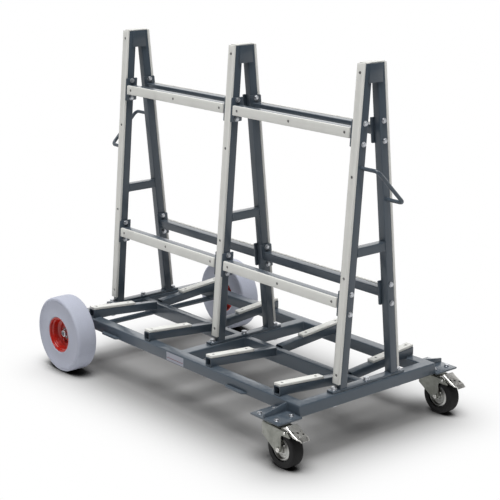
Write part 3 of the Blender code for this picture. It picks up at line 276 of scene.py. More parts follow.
class Graph:
    """Builds the nodes of one material or world."""

    def __init__(self, owner: "bpy.types.Material | bpy.types.World") -> None:
        """Starts from the shader that a new material or world has.

        Args:
            owner: The material or world.
        """
        owner.use_nodes = True
        self.owner = owner
        self.tree = owner.node_tree
        kinds = ("BSDF_PRINCIPLED", "BACKGROUND")
        self.shader = next(node for node in self.tree.nodes if node.type in kinds)

    @classmethod
    def paint(cls, name: str) -> "Graph":
        """Starts a new material's graph."""
        return cls(bpy.data.materials.new(name))

    def feed(self, socket: bpy.types.NodeSocket, value: object) -> None:
        """Links a socket, or sets its own value.

        Args:
            socket: The input socket.
            value: A link or a plain value.
        """
        if isinstance(value, Sock):
            self.tree.links.new(value.socket, socket)
        else:
            socket.default_value = value

    def node(self, kind: str, settings: dict, inputs: dict, output: int | str = 0) -> Sock:
        """Adds a node: its settings first, then its sockets.

        Args:
            kind: The node's type.
            settings: Its properties.
            inputs: Values or links by socket name or number.
            output: The output wanted.

        Returns:
            The output's socket.
        """
        made = self.tree.nodes.new(kind)
        for key, value in settings.items():
            setattr(made, key, value)
        for key, value in inputs.items():
            self.feed(made.inputs[key], value)
        return Sock(self, made.outputs[output])

    def math(self, operation: str, first: "Sock | float", second: "Sock | float") -> Sock:
        """A Math node of two values."""
        return self.node("ShaderNodeMath", {"operation": operation}, {0: first, 1: second})

    def vector(
        self, operation: str, first: Sock, second: "Sock | Place | None" = None,
        output: str = "Vector",
    ) -> Sock:
        """A Vector Math node.

        Args:
            operation: What it works out.
            first: The first vector.
            second: The second vector, where the operation takes one.
            output: The output wanted: Vector or Value.

        Returns:
            The output's socket.
        """
        ends = {0: first} if second is None else {0: first, 1: second}
        return self.node("ShaderNodeVectorMath", {"operation": operation}, ends, output)

    def spot(self, stretch: Place = (1.0, 1.0, 1.0)) -> Sock:
        """Object coordinates, stretched along each direction.

        Args:
            stretch: The factor of each direction.

        Returns:
            The coordinates' socket.
        """
        where = self.node("ShaderNodeTexCoord", {}, {}, "Object")
        if stretch == (1.0, 1.0, 1.0):
            return where
        return self.vector("MULTIPLY", where, stretch)

    def noise(self, scale: float, detail: float = 2.0, stretch: Place = (1.0, 1.0, 1.0)) -> Sock:
        """Even noise from 0 to 1.

        Args:
            scale: How many grains go on a metre.
            detail: How many finer layers it has.
            stretch: The factor of each direction.

        Returns:
            The noise's socket.
        """
        inputs = {"Vector": self.spot(stretch), "Scale": scale, "Detail": detail}
        return self.node("ShaderNodeTexNoise", {}, inputs)

    def blend(self, factor: Sock, first: "Sock | Colour", second: "Sock | Colour") -> Sock:
        """Mixes two colours.

        Args:
            factor: The share of the second colour.
            first: The colour at 0.
            second: The colour at 1.

        Returns:
            The mixed colour's socket.
        """
        ends = [c if isinstance(c, Sock) else (*c, 1.0) for c in (first, second)]
        inputs = {0: factor, 6: ends[0], 7: ends[1]}
        return self.node("ShaderNodeMix", {"data_type": "RGBA"}, inputs, 2)

    def edges(self, radius: float) -> Sock:
        """A mask that is 1 at convex and concave edges.

        Args:
            radius: How far from an edge it reaches.

        Returns:
            The mask's socket.
        """
        rounded = self.node("ShaderNodeBevel", {"samples": 4}, {"Radius": radius})
        flat = self.node("ShaderNodeNewGeometry", {}, {}, "Normal")
        along = self.vector("DOT_PRODUCT", rounded, flat, "Value")
        return (1.0 - along).rise(0.01, 0.2)

    def height_of(self, vector: Sock) -> Sock:
        """A vector's Z."""
        return self.node("ShaderNodeSeparateXYZ", {}, {0: vector}, "Z")

    def seen(self) -> Sock:
        """A mask that is 1 for what the camera sees itself."""
        return self.node("ShaderNodeLightPath", {}, {}, "Is Camera Ray")

    def upward(self) -> Sock:
        """A mask that is 1 on faces that look up."""
        normal = self.node("ShaderNodeNewGeometry", {}, {}, "Normal")
        return self.height_of(normal).rise(0.5, 0.95)

    def bump(self, height: Sock, depth: float, below: "Sock | None" = None) -> Sock:
        """A relief of the given depth in metres.

        Args:
            height: The relief, from 0 to 1.
            depth: Its depth at 1.
            below: A relief that it lies on.

        Returns:
            The normal's socket.
        """
        inputs = {"Height": height, "Distance": depth, "Strength": 1.0}
        if below:
            inputs["Normal"] = below
        return self.node("ShaderNodeBump", {}, inputs)

    def dress(self, **sockets: object) -> "bpy.types.Material | bpy.types.World":
        """Feeds the shader.

        Args:
            **sockets: Values or links, by socket name with _ for a space.

        Returns:
            The finished material or world.
        """
        for key, value in sockets.items():
            self.feed(self.shader.inputs[key.replace("_", " ")], value)
        return self.owner


@dataclass(frozen=True)
class Paint:
    """Sprayed paint with a fine skin, a little dust on top and rubbed edges."""

    name: str
    colour: Colour
    rubbed: Colour
    roughness: float
    skin: float = 0.00004
    dust: float = 0.10
    sheen: float = 0.3
    coat: float = 0.4
    coat_roughness: float = 0.16
    shade: float = 0.86
    dust_colour: Colour = (0.45, 0.44, 0.42)
    edge_reach: float = 0.0012
    edge_wear: float = 0.7

    def build(self) -> bpy.types.Material:
        """The paint's material.

        Returns:
            The new material.
        """
        graph = Graph.paint(self.name)
        broad = graph.noise(5.0, 3.0)
        fine = graph.noise(60.0, 4.0)
        darker = tuple(self.shade * c for c in self.colour)
        base = graph.blend(broad.rise(0.3, 0.7), darker, self.colour)
        dusty = graph.upward() * fine.rise(0.35, 0.75) * self.dust
        base = graph.blend(dusty, base, self.dust_colour)
        flakes = graph.noise(170.0, 3.0).rise(0.52, 0.6)
        chips = graph.edges(self.edge_reach) * flakes * broad.rise(0.4, 0.6)
        base = graph.blend(chips * self.edge_wear, base, self.rubbed)
        rough = self.roughness + 0.10 * (fine - 0.5) + 0.12 * dusty
        grain = graph.bump(graph.noise(750.0, 1.0), self.skin)
        return graph.dress(
            Base_Color=base, Roughness=rough, Normal=grain, Specular_IOR_Level=self.sheen,
            Coat_Weight=self.coat, Coat_Roughness=self.coat_roughness,
        )


@dataclass(frozen=True)
class StripRubber:
    """Pale moulded rubber with fine grain, soft smudges and scuffs along its length."""

    name: str
    colour: Colour
    smudge: Colour
    scuffed: Colour = (0.33, 0.33, 0.31)
    edge_reach: float = 0.001
    grain: float = 0.00006

    def build(self) -> bpy.types.Material:
        """The rubber's material.

        Returns:
            The new material.
        """
        graph = Graph.paint(self.name)
        broad = graph.noise(9.0, 4.0)
        scuff = graph.noise(30.0, 5.0, (0.25, 1.0, 0.25)).rise(0.58, 0.72)
        base = graph.blend(broad.rise(0.35, 0.75) * 0.45, self.colour, self.smudge)
        base = graph.blend(scuff * 0.16, base, self.scuffed)
        base = graph.blend(graph.edges(self.edge_reach) * 0.25, base, self.smudge)
        rough = 0.62 + 0.14 * (broad - 0.5) + 0.08 * scuff
        grain = graph.bump(graph.noise(900.0, 2.0), self.grain)
        return graph.dress(Base_Color=base, Roughness=rough, Normal=grain)


@dataclass(frozen=True)
class WheelRubber:
    """Solid tyre rubber with moulding rings round its axle and dust at the tread."""

    name: str
    colour: Colour
    worn: Colour
    axle: Point
    radius: float
    ring_count: float
    roughness: float = 0.55
    sheen: float = 0.25
    tread_start: float = 0.955
    ring_depth: float = 0.00005
    grain: float = 0.00008

    def build(self) -> bpy.types.Material:
        """The tyre's material.

        Returns:
            The new material.
        """
        graph = Graph.paint(self.name)
        away = (self.axle[0], 0.0, self.axle[1])
        place = graph.vector("SUBTRACT", graph.spot((1.0, 0.0, 1.0)), away)
        radius = graph.vector("LENGTH", place, output="Value")
        broad = graph.noise(12.0, 4.0)
        speck = graph.noise(260.0, 3.0)
        tread = radius.rise(self.radius * self.tread_start, self.radius)
        base = graph.blend(broad.rise(0.35, 0.7) * 0.35, self.colour, self.worn)
        base = graph.blend(tread * speck.rise(0.4, 0.7) * 0.35, base, self.worn)
        rings = graph.math("SINE", radius * (self.ring_count * math.tau / self.radius), 0.0)
        relief = graph.bump(rings * 0.5 + 0.5, self.ring_depth)
        relief = graph.bump(graph.noise(700.0, 2.0), self.grain, relief)
        rough = self.roughness + 0.16 * (broad - 0.5) + 0.12 * tread
        return graph.dress(
            Base_Color=base, Roughness=rough, Normal=relief, Specular_IOR_Level=self.sheen
        )


@dataclass(frozen=True)
class PlatedSteel:
    """Zinc plate over pressed steel, with faint crystals, handling marks and dull patches."""

    name: str
    colour: Colour
    dull: Colour
    roughness: float
    crystal: float = 95.0
    metallic: float = 1.0
    grain: float = 0.00005

    def build(self) -> bpy.types.Material:
        """The plated steel's material.

        Returns:
            The new material.
        """
        graph = Graph.paint(self.name)
        cells = graph.node(
            "ShaderNodeTexVoronoi", {}, {"Vector": graph.spot(), "Scale": self.crystal}, "Color"
        )
        shade = graph.node("ShaderNodeSeparateColor", {}, {0: cells})
        broad = graph.noise(22.0, 4.0)
        base = graph.blend(shade * 0.35 + broad.rise(0.4, 0.7) * 0.4, self.colour, self.dull)
        streak = graph.noise(140.0, 3.0, (0.3, 1.0, 1.0))
        rough = self.roughness + 0.12 * (shade - 0.5) + 0.14 * (broad - 0.5) + 0.06 * streak
        grain = graph.bump(graph.noise(420.0, 3.0), self.grain)
        return graph.dress(Base_Color=base, Roughness=rough, Normal=grain, Metallic=self.metallic)


class Finish(Enum):
    """Every finish of the buggy."""

    SLATE = Paint("slate_enamel", (0.057, 0.076, 0.098), (0.22, 0.23, 0.24), 0.36)
    RED = Paint("red_enamel", (0.46, 0.017, 0.010), (0.55, 0.16, 0.12), 0.26, 0.00002, 0.03)
    STRIP = StripRubber("pale_strip_rubber", (0.665, 0.665, 0.635), (0.57, 0.57, 0.54))
    TYRE = WheelRubber(
        "grey_solid_rubber", (0.41, 0.43, 0.51), (0.35, 0.365, 0.42),
        (PLAN.wheel_x + PLAN.shift, PLAN.wheel_radius), PLAN.wheel_radius, 24.0,
    )
    BLACK = WheelRubber(
        "black_caster_rubber", (0.006, 0.006, 0.0065), (0.014, 0.014, 0.013),
        (PLAN.caster_x + PLAN.caster_trail + PLAN.shift, PLAN.caster_radius), PLAN.caster_radius,
        14.0, 0.6,
    )
    ZINC = PlatedSteel("dull_zinc_plate", (0.31, 0.315, 0.285), (0.20, 0.205, 0.185), 0.38)
    CORE = PlatedSteel("caster_core_zinc", (0.50, 0.50, 0.48), (0.36, 0.36, 0.345), 0.30)
    BRIGHT = PlatedSteel("bright_zinc_plate", (0.74, 0.73, 0.70), (0.50, 0.495, 0.47), 0.28, 150.0)
    BOLT = PlatedSteel("bolt_zinc_plate", (0.60, 0.62, 0.65), (0.40, 0.41, 0.43), 0.34, 260.0)
    SCREW = PlatedSteel("dark_screw_steel", (0.20, 0.20, 0.20), (0.10, 0.10, 0.10), 0.38, 300.0)
    BLANK = Paint("blank_label_film", (0.30, 0.31, 0.365), (0.30, 0.30, 0.30), 0.35, 0.00001, 0.05)
    BAND = Paint("label_band_film", (0.30, 0.09, 0.11), (0.30, 0.30, 0.30), 0.35, 0.00001, 0.05)


class Palette:
    """Makes each finish's material once."""

    def __init__(self) -> None:
        """Starts with no materials made."""
        self._made: dict[Finish, bpy.types.Material] = {}

    def get(self, finish: Finish) -> bpy.types.Material:
        """The material of a finish, made on its first use.

        Args:
            finish: The finish wanted.

        Returns:
            Its material.
        """
        if finish not in self._made:
            self._made[finish] = finish.value.build()
        return self._made[finish]


# The bench: modelling with the operators

class Bench:
    """Makes and shapes solids as by hand, with Blender's own operators."""

    RIPPLE_STEP: float = 0.0022
    RIPPLE_WAIST: float = 0.78

    @staticmethod
    def alone(solid: Solid | None = None) -> None:
        """Deselects everything, then selects one solid if it is given.

        Args:
            solid: The solid to select.
        """
        bpy.ops.object.select_all(action="DESELECT")
        if solid:
            solid.select_set(True)
            bpy.context.view_layer.objects.active = solid

    @classmethod
    @contextmanager
    def editing(cls, solid: Solid) -> Iterator[None]:
        """Edit mode on one solid.

        Args:
            solid: The solid.

        Returns:
            A context manager.
        """
        cls.alone(solid)
        bpy.ops.object.mode_set(mode="EDIT")
        yield
        bpy.ops.object.mode_set(mode="OBJECT")

    @staticmethod
    def pick(solid: Solid, what: Pick, wanted: Callable[[object], bool]) -> None:
        """Selects the edges or faces that a test wants, in edit mode.

        Args:
            solid: The solid in edit mode.
            what: Edges or faces.
            wanted: The test of one edge or face.
        """
        mode, table = what.value
        bpy.ops.mesh.select_mode(type=mode)
        bpy.ops.mesh.select_all(action="DESELECT")
        mesh = bmesh.from_edit_mesh(solid.data)
        for element in getattr(mesh, table):
            element.select_set(bool(wanted(element)))
        mesh.select_flush_mode()
        bmesh.update_edit_mesh(solid.data)

    @staticmethod
    def runs(edge: bmesh.types.BMEdge, axis: Axis) -> bool:
        """Whether an edge's ends lie apart along an axis."""
        return abs((edge.verts[0].co - edge.verts[1].co)[axis.value]) > TOUCH

    @classmethod
    def bar(
        cls, low: Place, high: Place, along: Axis, corner: float = 0.0, steps: int = 4
    ) -> Solid:
        """A square bar between two corners, its long edges rounded.

        Args:
            low: Its lowest corner.
            high: Its highest corner.
            along: The direction of its long edges.
            corner: The radius of those edges.
            steps: How many faces each rounding has.

        Returns:
            The bar.
        """
        start, end = Vector(low), Vector(high)
        cls.alone()
        bpy.ops.mesh.primitive_cube_add(size=1.0, location=(start + end) / 2, scale=end - start)
        bpy.ops.object.transform_apply(location=True, rotation=False, scale=True)
        solid = bpy.context.active_object
        if corner:
            with cls.editing(solid):
                cls.pick(solid, Pick.EDGES, lambda edge: cls.runs(edge, along))
                bpy.ops.mesh.bevel(offset=corner, segments=steps, affect="EDGES")
        return solid

    @classmethod
    def open_end(cls, solid: Solid, along: Axis, sign: int, wall: float, depth: float) -> None:
        """Hollows one end of a bar.

        Args:
            solid: The bar.
            along: The bar's long direction.
            sign: Which of its two ends.
            wall: The thickness left at the rim.
            depth: How deep the hollow goes.
        """
        axis = along.value
        reach = max(sign * vertex.co[axis] for vertex in solid.data.vertices)
        step = [0.0, 0.0, 0.0]
        step[axis] = -sign * depth
        with cls.editing(solid):
            cls.pick(
                solid, Pick.FACES,
                lambda face: sign * face.calc_center_median()[axis] > reach - TOUCH,
            )
            bpy.ops.mesh.inset(thickness=wall, use_even_offset=True)
            bpy.ops.mesh.extrude_region_move(TRANSFORM_OT_translate={"value": step})

    @classmethod
    def soften(cls, solid: Solid, width: float, steps: int = 2, angle: float = 40.0) -> Solid:
        """Rounds every sharp edge a little.

        Args:
            solid: The solid.
            width: The rounding's width.
            steps: How many faces it has.
            angle: Edges sharper than this many degrees are rounded.

        Returns:
            The same solid.
        """
        cls.alone(solid)
        modifier = solid.modifiers.new("Soften", "BEVEL")
        modifier.width = width
        modifier.segments = steps
        modifier.limit_method = "ANGLE"
        modifier.angle_limit = math.radians(angle)
        bpy.ops.object.modifier_apply(modifier=modifier.name)
        return solid

    @classmethod
    def combine(cls, solid: Solid, others: Sequence[Solid], operation: str) -> Solid:
        """Joins others to a solid, cuts them from it or keeps what they share.

        Args:
            solid: The solid that stays.
            others: The solids that are used up.
            operation: UNION, DIFFERENCE or INTERSECT.

        Returns:
            The same solid.
        """
        for other in others:
            cls.alone(solid)
            modifier = solid.modifiers.new("Combine", "BOOLEAN")
            modifier.operation = operation
            modifier.object = other
            modifier.solver = "EXACT"
            bpy.ops.object.modifier_apply(modifier=modifier.name)
            bpy.data.objects.remove(other)
        return solid

    @classmethod
    def turn(cls, profile: Outline, place: Matrix, steps: int = 64) -> Solid:
        """A section of (radius, height) points turned round Z, then placed.

        Args:
            profile: The section. It closes on itself unless it starts and ends on the axis.
            place: Where the turned shape goes.
            steps: How many faces go round.

        Returns:
            The turned shape.
        """
        closed = profile[0][0] > 0.0
        points = list(profile) + ([profile[0]] if closed else [])
        axis_radius = TOUCH / 100
        points = [(max(radius, axis_radius), height) for radius, height in points]
        cls.alone()
        bpy.ops.mesh.primitive_circle_add(vertices=steps, radius=points[0][0], fill_type="NOTHING")
        solid = bpy.context.active_object
        with cls.editing(solid):
            bpy.ops.mesh.select_mode(type="EDGE")
            bpy.ops.mesh.select_all(action="SELECT")
            bpy.ops.transform.translate(value=(0.0, 0.0, points[0][1]))
            for before, after in zip(points, points[1:]):
                rise = (0.0, 0.0, after[1] - before[1])
                bpy.ops.mesh.extrude_region_move(TRANSFORM_OT_translate={"value": rise})
                share = after[0] / before[0]
                bpy.ops.transform.resize(
                    value=(share, share, 1.0), center_override=(0.0, 0.0, after[1])
                )
            bpy.ops.mesh.select_all(action="SELECT")
            bpy.ops.mesh.remove_doubles(threshold=MERGE)
            bpy.ops.mesh.select_all(action="SELECT")
            bpy.ops.mesh.normals_make_consistent(inside=False)
        solid.data.transform(place)
        return solid

    @classmethod
    def sheet(
        cls, outline: Outline, thickness: float, place: Matrix, holes: Sequence[Outline] = ()
    ) -> Solid:
        """A flat outline with holes, given half its thickness both ways, then placed.

        Args:
            outline: Its corners.
            thickness: The sheet's thickness.
            place: Where the outline's plane goes.
            holes: The corners of each hole.

        Returns:
            The sheet as a mesh.
        """
        curve = bpy.data.curves.new("sheet", "CURVE")
        curve.dimensions = "2D"
        curve.fill_mode = "BOTH"
        curve.extrude = thickness / 2
        for loop in (outline, *holes):
            spline = curve.splines.new("POLY")
            spline.points.add(len(loop) - 1)
            spline.use_cyclic_u = True
            for point, (x, y) in zip(spline.points, loop):
                point.co = (x, y, 0.0, 1.0)
        solid = cls.from_curve(curve)
        solid.data.transform(place)
        return cls.seal(solid)

    @classmethod
    def seal(cls, solid: Solid) -> Solid:
        """Welds loose seams and turns every face outward.

        Args:
            solid: The solid.

        Returns:
            The same solid.
        """
        with cls.editing(solid):
            bpy.ops.mesh.select_all(action="SELECT")
            bpy.ops.mesh.remove_doubles(threshold=MERGE)
            bpy.ops.mesh.normals_make_consistent(inside=False)
        return solid

    @classmethod
    def hexagon(cls, flats: float, height: float, place: Matrix, chamfer: float = 0.0006) -> Solid:
        """A hexagon head or nut with a chamfered face, its height along Z.

        Args:
            flats: Its width across the flats.
            height: Its height.
            place: Where its seat goes.
            chamfer: The width of its chamfer.

        Returns:
            The head.
        """
        cls.alone()
        bpy.ops.mesh.primitive_cylinder_add(
            vertices=6, radius=flats / math.sqrt(3), depth=height, location=(0.0, 0.0, height / 2)
        )
        bpy.ops.object.transform_apply(location=True)
        solid = bpy.context.active_object
        with cls.editing(solid):
            cls.pick(solid, Pick.FACES, lambda face: face.normal.z > 0.9)
            bpy.ops.mesh.inset(thickness=chamfer * 1.6)
            bpy.ops.transform.translate(value=(0.0, 0.0, chamfer))
        cls.soften(solid, chamfer / 3, 1, 25.0)
        solid.data.transform(place)
        return solid

    @classmethod
    def join(cls, solids: Sequence[Solid]) -> Solid:
        """Makes one piece of several solids.

        Args:
            solids: The solids.

        Returns:
            The first one, with all in it.
        """
        if len(solids) > 1:
            cls.alone(solids[0])
            for solid in solids:
                solid.select_set(True)
            bpy.ops.object.join()
        return solids[0]

    @classmethod
    def copy(cls, solid: Solid, place: Matrix) -> Solid:
        """A copy of a solid with its own mesh, placed.

        Args:
            solid: The solid.
            place: Where the copy goes.

        Returns:
            The copy.
        """
        twin = solid.copy()
        twin.data = solid.data.copy()
        twin.data.transform(place)
        bpy.context.scene.collection.objects.link(twin)
        return twin

    @classmethod
    def bead(cls, route: Sequence[Vector], radius: float, closed: bool = False) -> Solid:
        """A weld bead along a route, with the ripple that welding leaves.

        Args:
            route: The points of the joint.
            radius: The bead's radius.
            closed: Whether the route ends where it starts.

        Returns:
            The bead as a mesh.
        """
        ends = [Vector(point) for point in route]
        if closed:
            ends.append(ends[0])
        points = []
        for start, end in zip(ends, ends[1:]):
            count = max(2, round((end - start).length / cls.RIPPLE_STEP))
            points += [start.lerp(end, i / count) for i in range(count)]
        if not closed:
            points.append(ends[-1])
        return cls.wire(points, radius, 1, closed, cls.RIPPLE_WAIST)

    @classmethod
    def wire(
        cls, points: Sequence[Vector], radius: float, facets: int, closed: bool = False,
        waist: float = 1.0,
    ) -> Solid:
        """A round wire through some points.

        Args:
            points: The points of its middle line.
            radius: Its radius.
            facets: How finely its section is rounded.
            closed: Whether it ends where it starts.
            waist: The share of the radius at every second point.

        Returns:
            The wire as a mesh.
        """
        curve = bpy.data.curves.new("wire", "CURVE")
        curve.dimensions = "3D"
        curve.bevel_depth = radius
        curve.bevel_resolution = facets
        curve.use_fill_caps = not closed
        spline = curve.splines.new("POLY")
        spline.points.add(len(points) - 1)
        spline.use_cyclic_u = closed
        for number, (point, place) in enumerate(zip(spline.points, points)):
            point.co = (*place, 1.0)
            point.radius = 1.0 if number % 2 else waist
        return cls.seal(cls.from_curve(curve))

    @classmethod
    def from_curve(cls, curve: bpy.types.Curve) -> Solid:
        """The mesh of a curve, its caps and sides not yet welded.

        Args:
            curve: The curve.

        Returns:
            The mesh's object.
        """
        solid = bpy.data.objects.new(curve.name, curve)
        bpy.context.scene.collection.objects.link(solid)
        cls.alone(solid)
        bpy.ops.object.convert(target="MESH")
        return bpy.context.active_object

    @classmethod
    def drill(
        cls, solid: Solid, radius: float, low: float, high: float, place: Matrix, steps: int = 32
    ) -> Solid:
        """Cuts a round hole.

        Args:
            solid: The solid that is cut.
            radius: The hole's radius.
            low: Where the drill starts on its axis.
            high: Where the drill ends on its axis.
            place: Where the axis goes.
            steps: How many faces go round.

        Returns:
            The same solid.
        """
        rod = cls.turn([(0.0, low), (radius, low), (radius, high), (0.0, high)], place, steps)
        return cls.combine(solid, [rod], "DIFFERENCE")


def arc(centre: Point, radius: float, start: float, end: float, steps: int) -> list[Point]:
    """Points of an arc in a section or outline.

    Args:
        centre: The arc's centre.
        radius: Its radius.
        start: Its first angle in degrees.
        end: Its last angle in degrees.
        steps: How many parts it has.

    Returns:
        The points, first to last.
    """
    turns = [math.radians(start + (end - start) * i / steps) for i in range(steps + 1)]
    return [(centre[0] + radius * math.cos(t), centre[1] + radius * math.sin(t)) for t in turns]


def mirrored(half: Outline) -> list[Point]:
    """Half a section and its mirror image below height 0."""
    return [*half, *((radius, -height) for radius, height in reversed(half))]


def washer(bore: float, radius: float, height: float, chamfer: float) -> list[Point]:
    """A washer's section.

    Args:
        bore: The radius of its hole.
        radius: Its outer radius.
        height: Its height over its seat.
        chamfer: The width of its outer edges' chamfers.

    Returns:
        The section's corners.
    """
    return [
        (bore, 0.0), (radius - chamfer, 0.0), (radius, chamfer), (radius, height - chamfer),
        (radius - chamfer, height), (bore, height),
    ]


def rounded(outline: Outline, radius: float, steps: int = 4) -> list[Point]:
    """An outline with every corner rounded.

    Args:
        outline: Its corners.
        radius: The wanted radius, less where a side is short.
        steps: How many parts each rounding has.

    Returns:
        The rounded outline.
    """
    result = []
    count = len(outline)
    for i in range(count):
        corner = Vector(outline[i])
        back = Vector(outline[i - 1]) - corner
        ahead = Vector(outline[(i + 1) % count]) - corner
        reach = min(radius, back.length / 2.2, ahead.length / 2.2)
        first, last = corner + back.normalized() * reach, corner + ahead.normalized() * reach
        for k in range(steps + 1):
            share = k / steps
            one, two = first.lerp(corner, share), corner.lerp(last, share)
            result.append(tuple(one.lerp(two, share)))
    return result


@dataclass
class Assembly:
    """What every sub-assembly needs: the palette, and a way to hand its pieces over."""

    palette: Palette

    def hand_over(
        self, solid: Solid, name: str, finish: Finish, slot: Slot,
        nodes: Sequence[str] = (), body: str = ROOT, angle: float = 32.0,
    ) -> Solid:
        """Names, dresses and places a finished piece, and ties it to its body.

        Args:
            solid: The modelled piece, in sizes from the middle of the chassis.
            name: The piece's name.
            finish: Its finish.
            slot: The record's slot that its finish stands for. Not used.
            nodes: The nodes that it stands for.
            body: The body that it moves with.
            angle: Edges sharper than this many degrees stay sharp.

        Returns:
            The piece.
        """
        solid.name = name
        solid.data.name = name
        solid.data.transform(Matrix.Translation((PLAN.shift, 0.0, 0.0)))
        solid.data.materials.clear()
        solid.data.materials.append(self.palette.get(finish))
        Bench.alone(solid)
        bpy.ops.object.shade_smooth_by_angle(angle=math.radians(angle))
        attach(solid, body)
        if nodes:
            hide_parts(*nodes)
        LOG.info("%s: %d faces on %s", name, len(solid.data.polygons), body)
        return solid

    def steel(self, solid: Solid, name: str, *nodes: str) -> Solid:
        """Hands over one piece painted like the frame, with the nodes that it stands for."""
        return self.hand_over(solid, name, Finish.SLATE, Slot.PAINT, nodes)


def standing(x: float) -> Matrix:
    """Stands an XY outline up in the YZ plane at one X."""
    turn = Matrix.Rotation(math.pi / 2, 4, "Z") @ Matrix.Rotation(math.pi / 2, 4, "X")
    return Matrix.Translation((x, 0.0, 0.0)) @ turn


def upright(y: float) -> Matrix:
    """Stands an XY outline up in the XZ plane at one Y."""
    return Matrix.Translation((0.0, y, 0.0)) @ Matrix.Rotation(math.pi / 2, 4, "X")


def facing(place: Sequence[float], way: Place, spin: float = 0.0) -> Matrix:
    """Places a shape so that its Z points one way.

    Args:
        place: Where its foot goes.
        way: The direction of its Z.
        spin: Its turn about Z in radians.

    Returns:
        The placing matrix.
    """
    turn = Vector(way).to_track_quat("Z", "Y").to_matrix().to_4x4()
    return Matrix.Translation(place) @ turn @ Matrix.Rotation(spin, 4, "Z")


@dataclass
class Bolts:
    """Hexagon bolt heads with washers, modelled once for each size and copied."""

    flats: float
    height: float
    washer: float
    washer_height: float
    seed: int
    washer_chamfer: float = 0.0003

    def __post_init__(self) -> None:
        """Models the first head and its washer."""
        self._turns = random.Random(self.seed)
        seat = Matrix.Translation((0, 0, self.washer_height))
        head = Bench.hexagon(self.flats, self.height, seat)
        bore = self.flats * 0.28
        section = washer(bore, self.washer, self.washer_height, self.washer_chamfer)
        self._model = Bench.join([head, Bench.turn(section, Matrix.Identity(4), 32)])

    def at(self, place: Sequence[float], way: Place) -> Solid:
        """A bolt head seated at a place.

        Args:
            place: The middle of its seat.
            way: The direction that it stands out.

        Returns:
            The copied head.
        """
        return Bench.copy(self._model, facing(place, way, self._turns.uniform(0.0, math.pi / 3)))

    def put_away(self) -> None:
        """Removes the model once every copy is made."""
        bpy.data.objects.remove(self._model)


# Steelwork

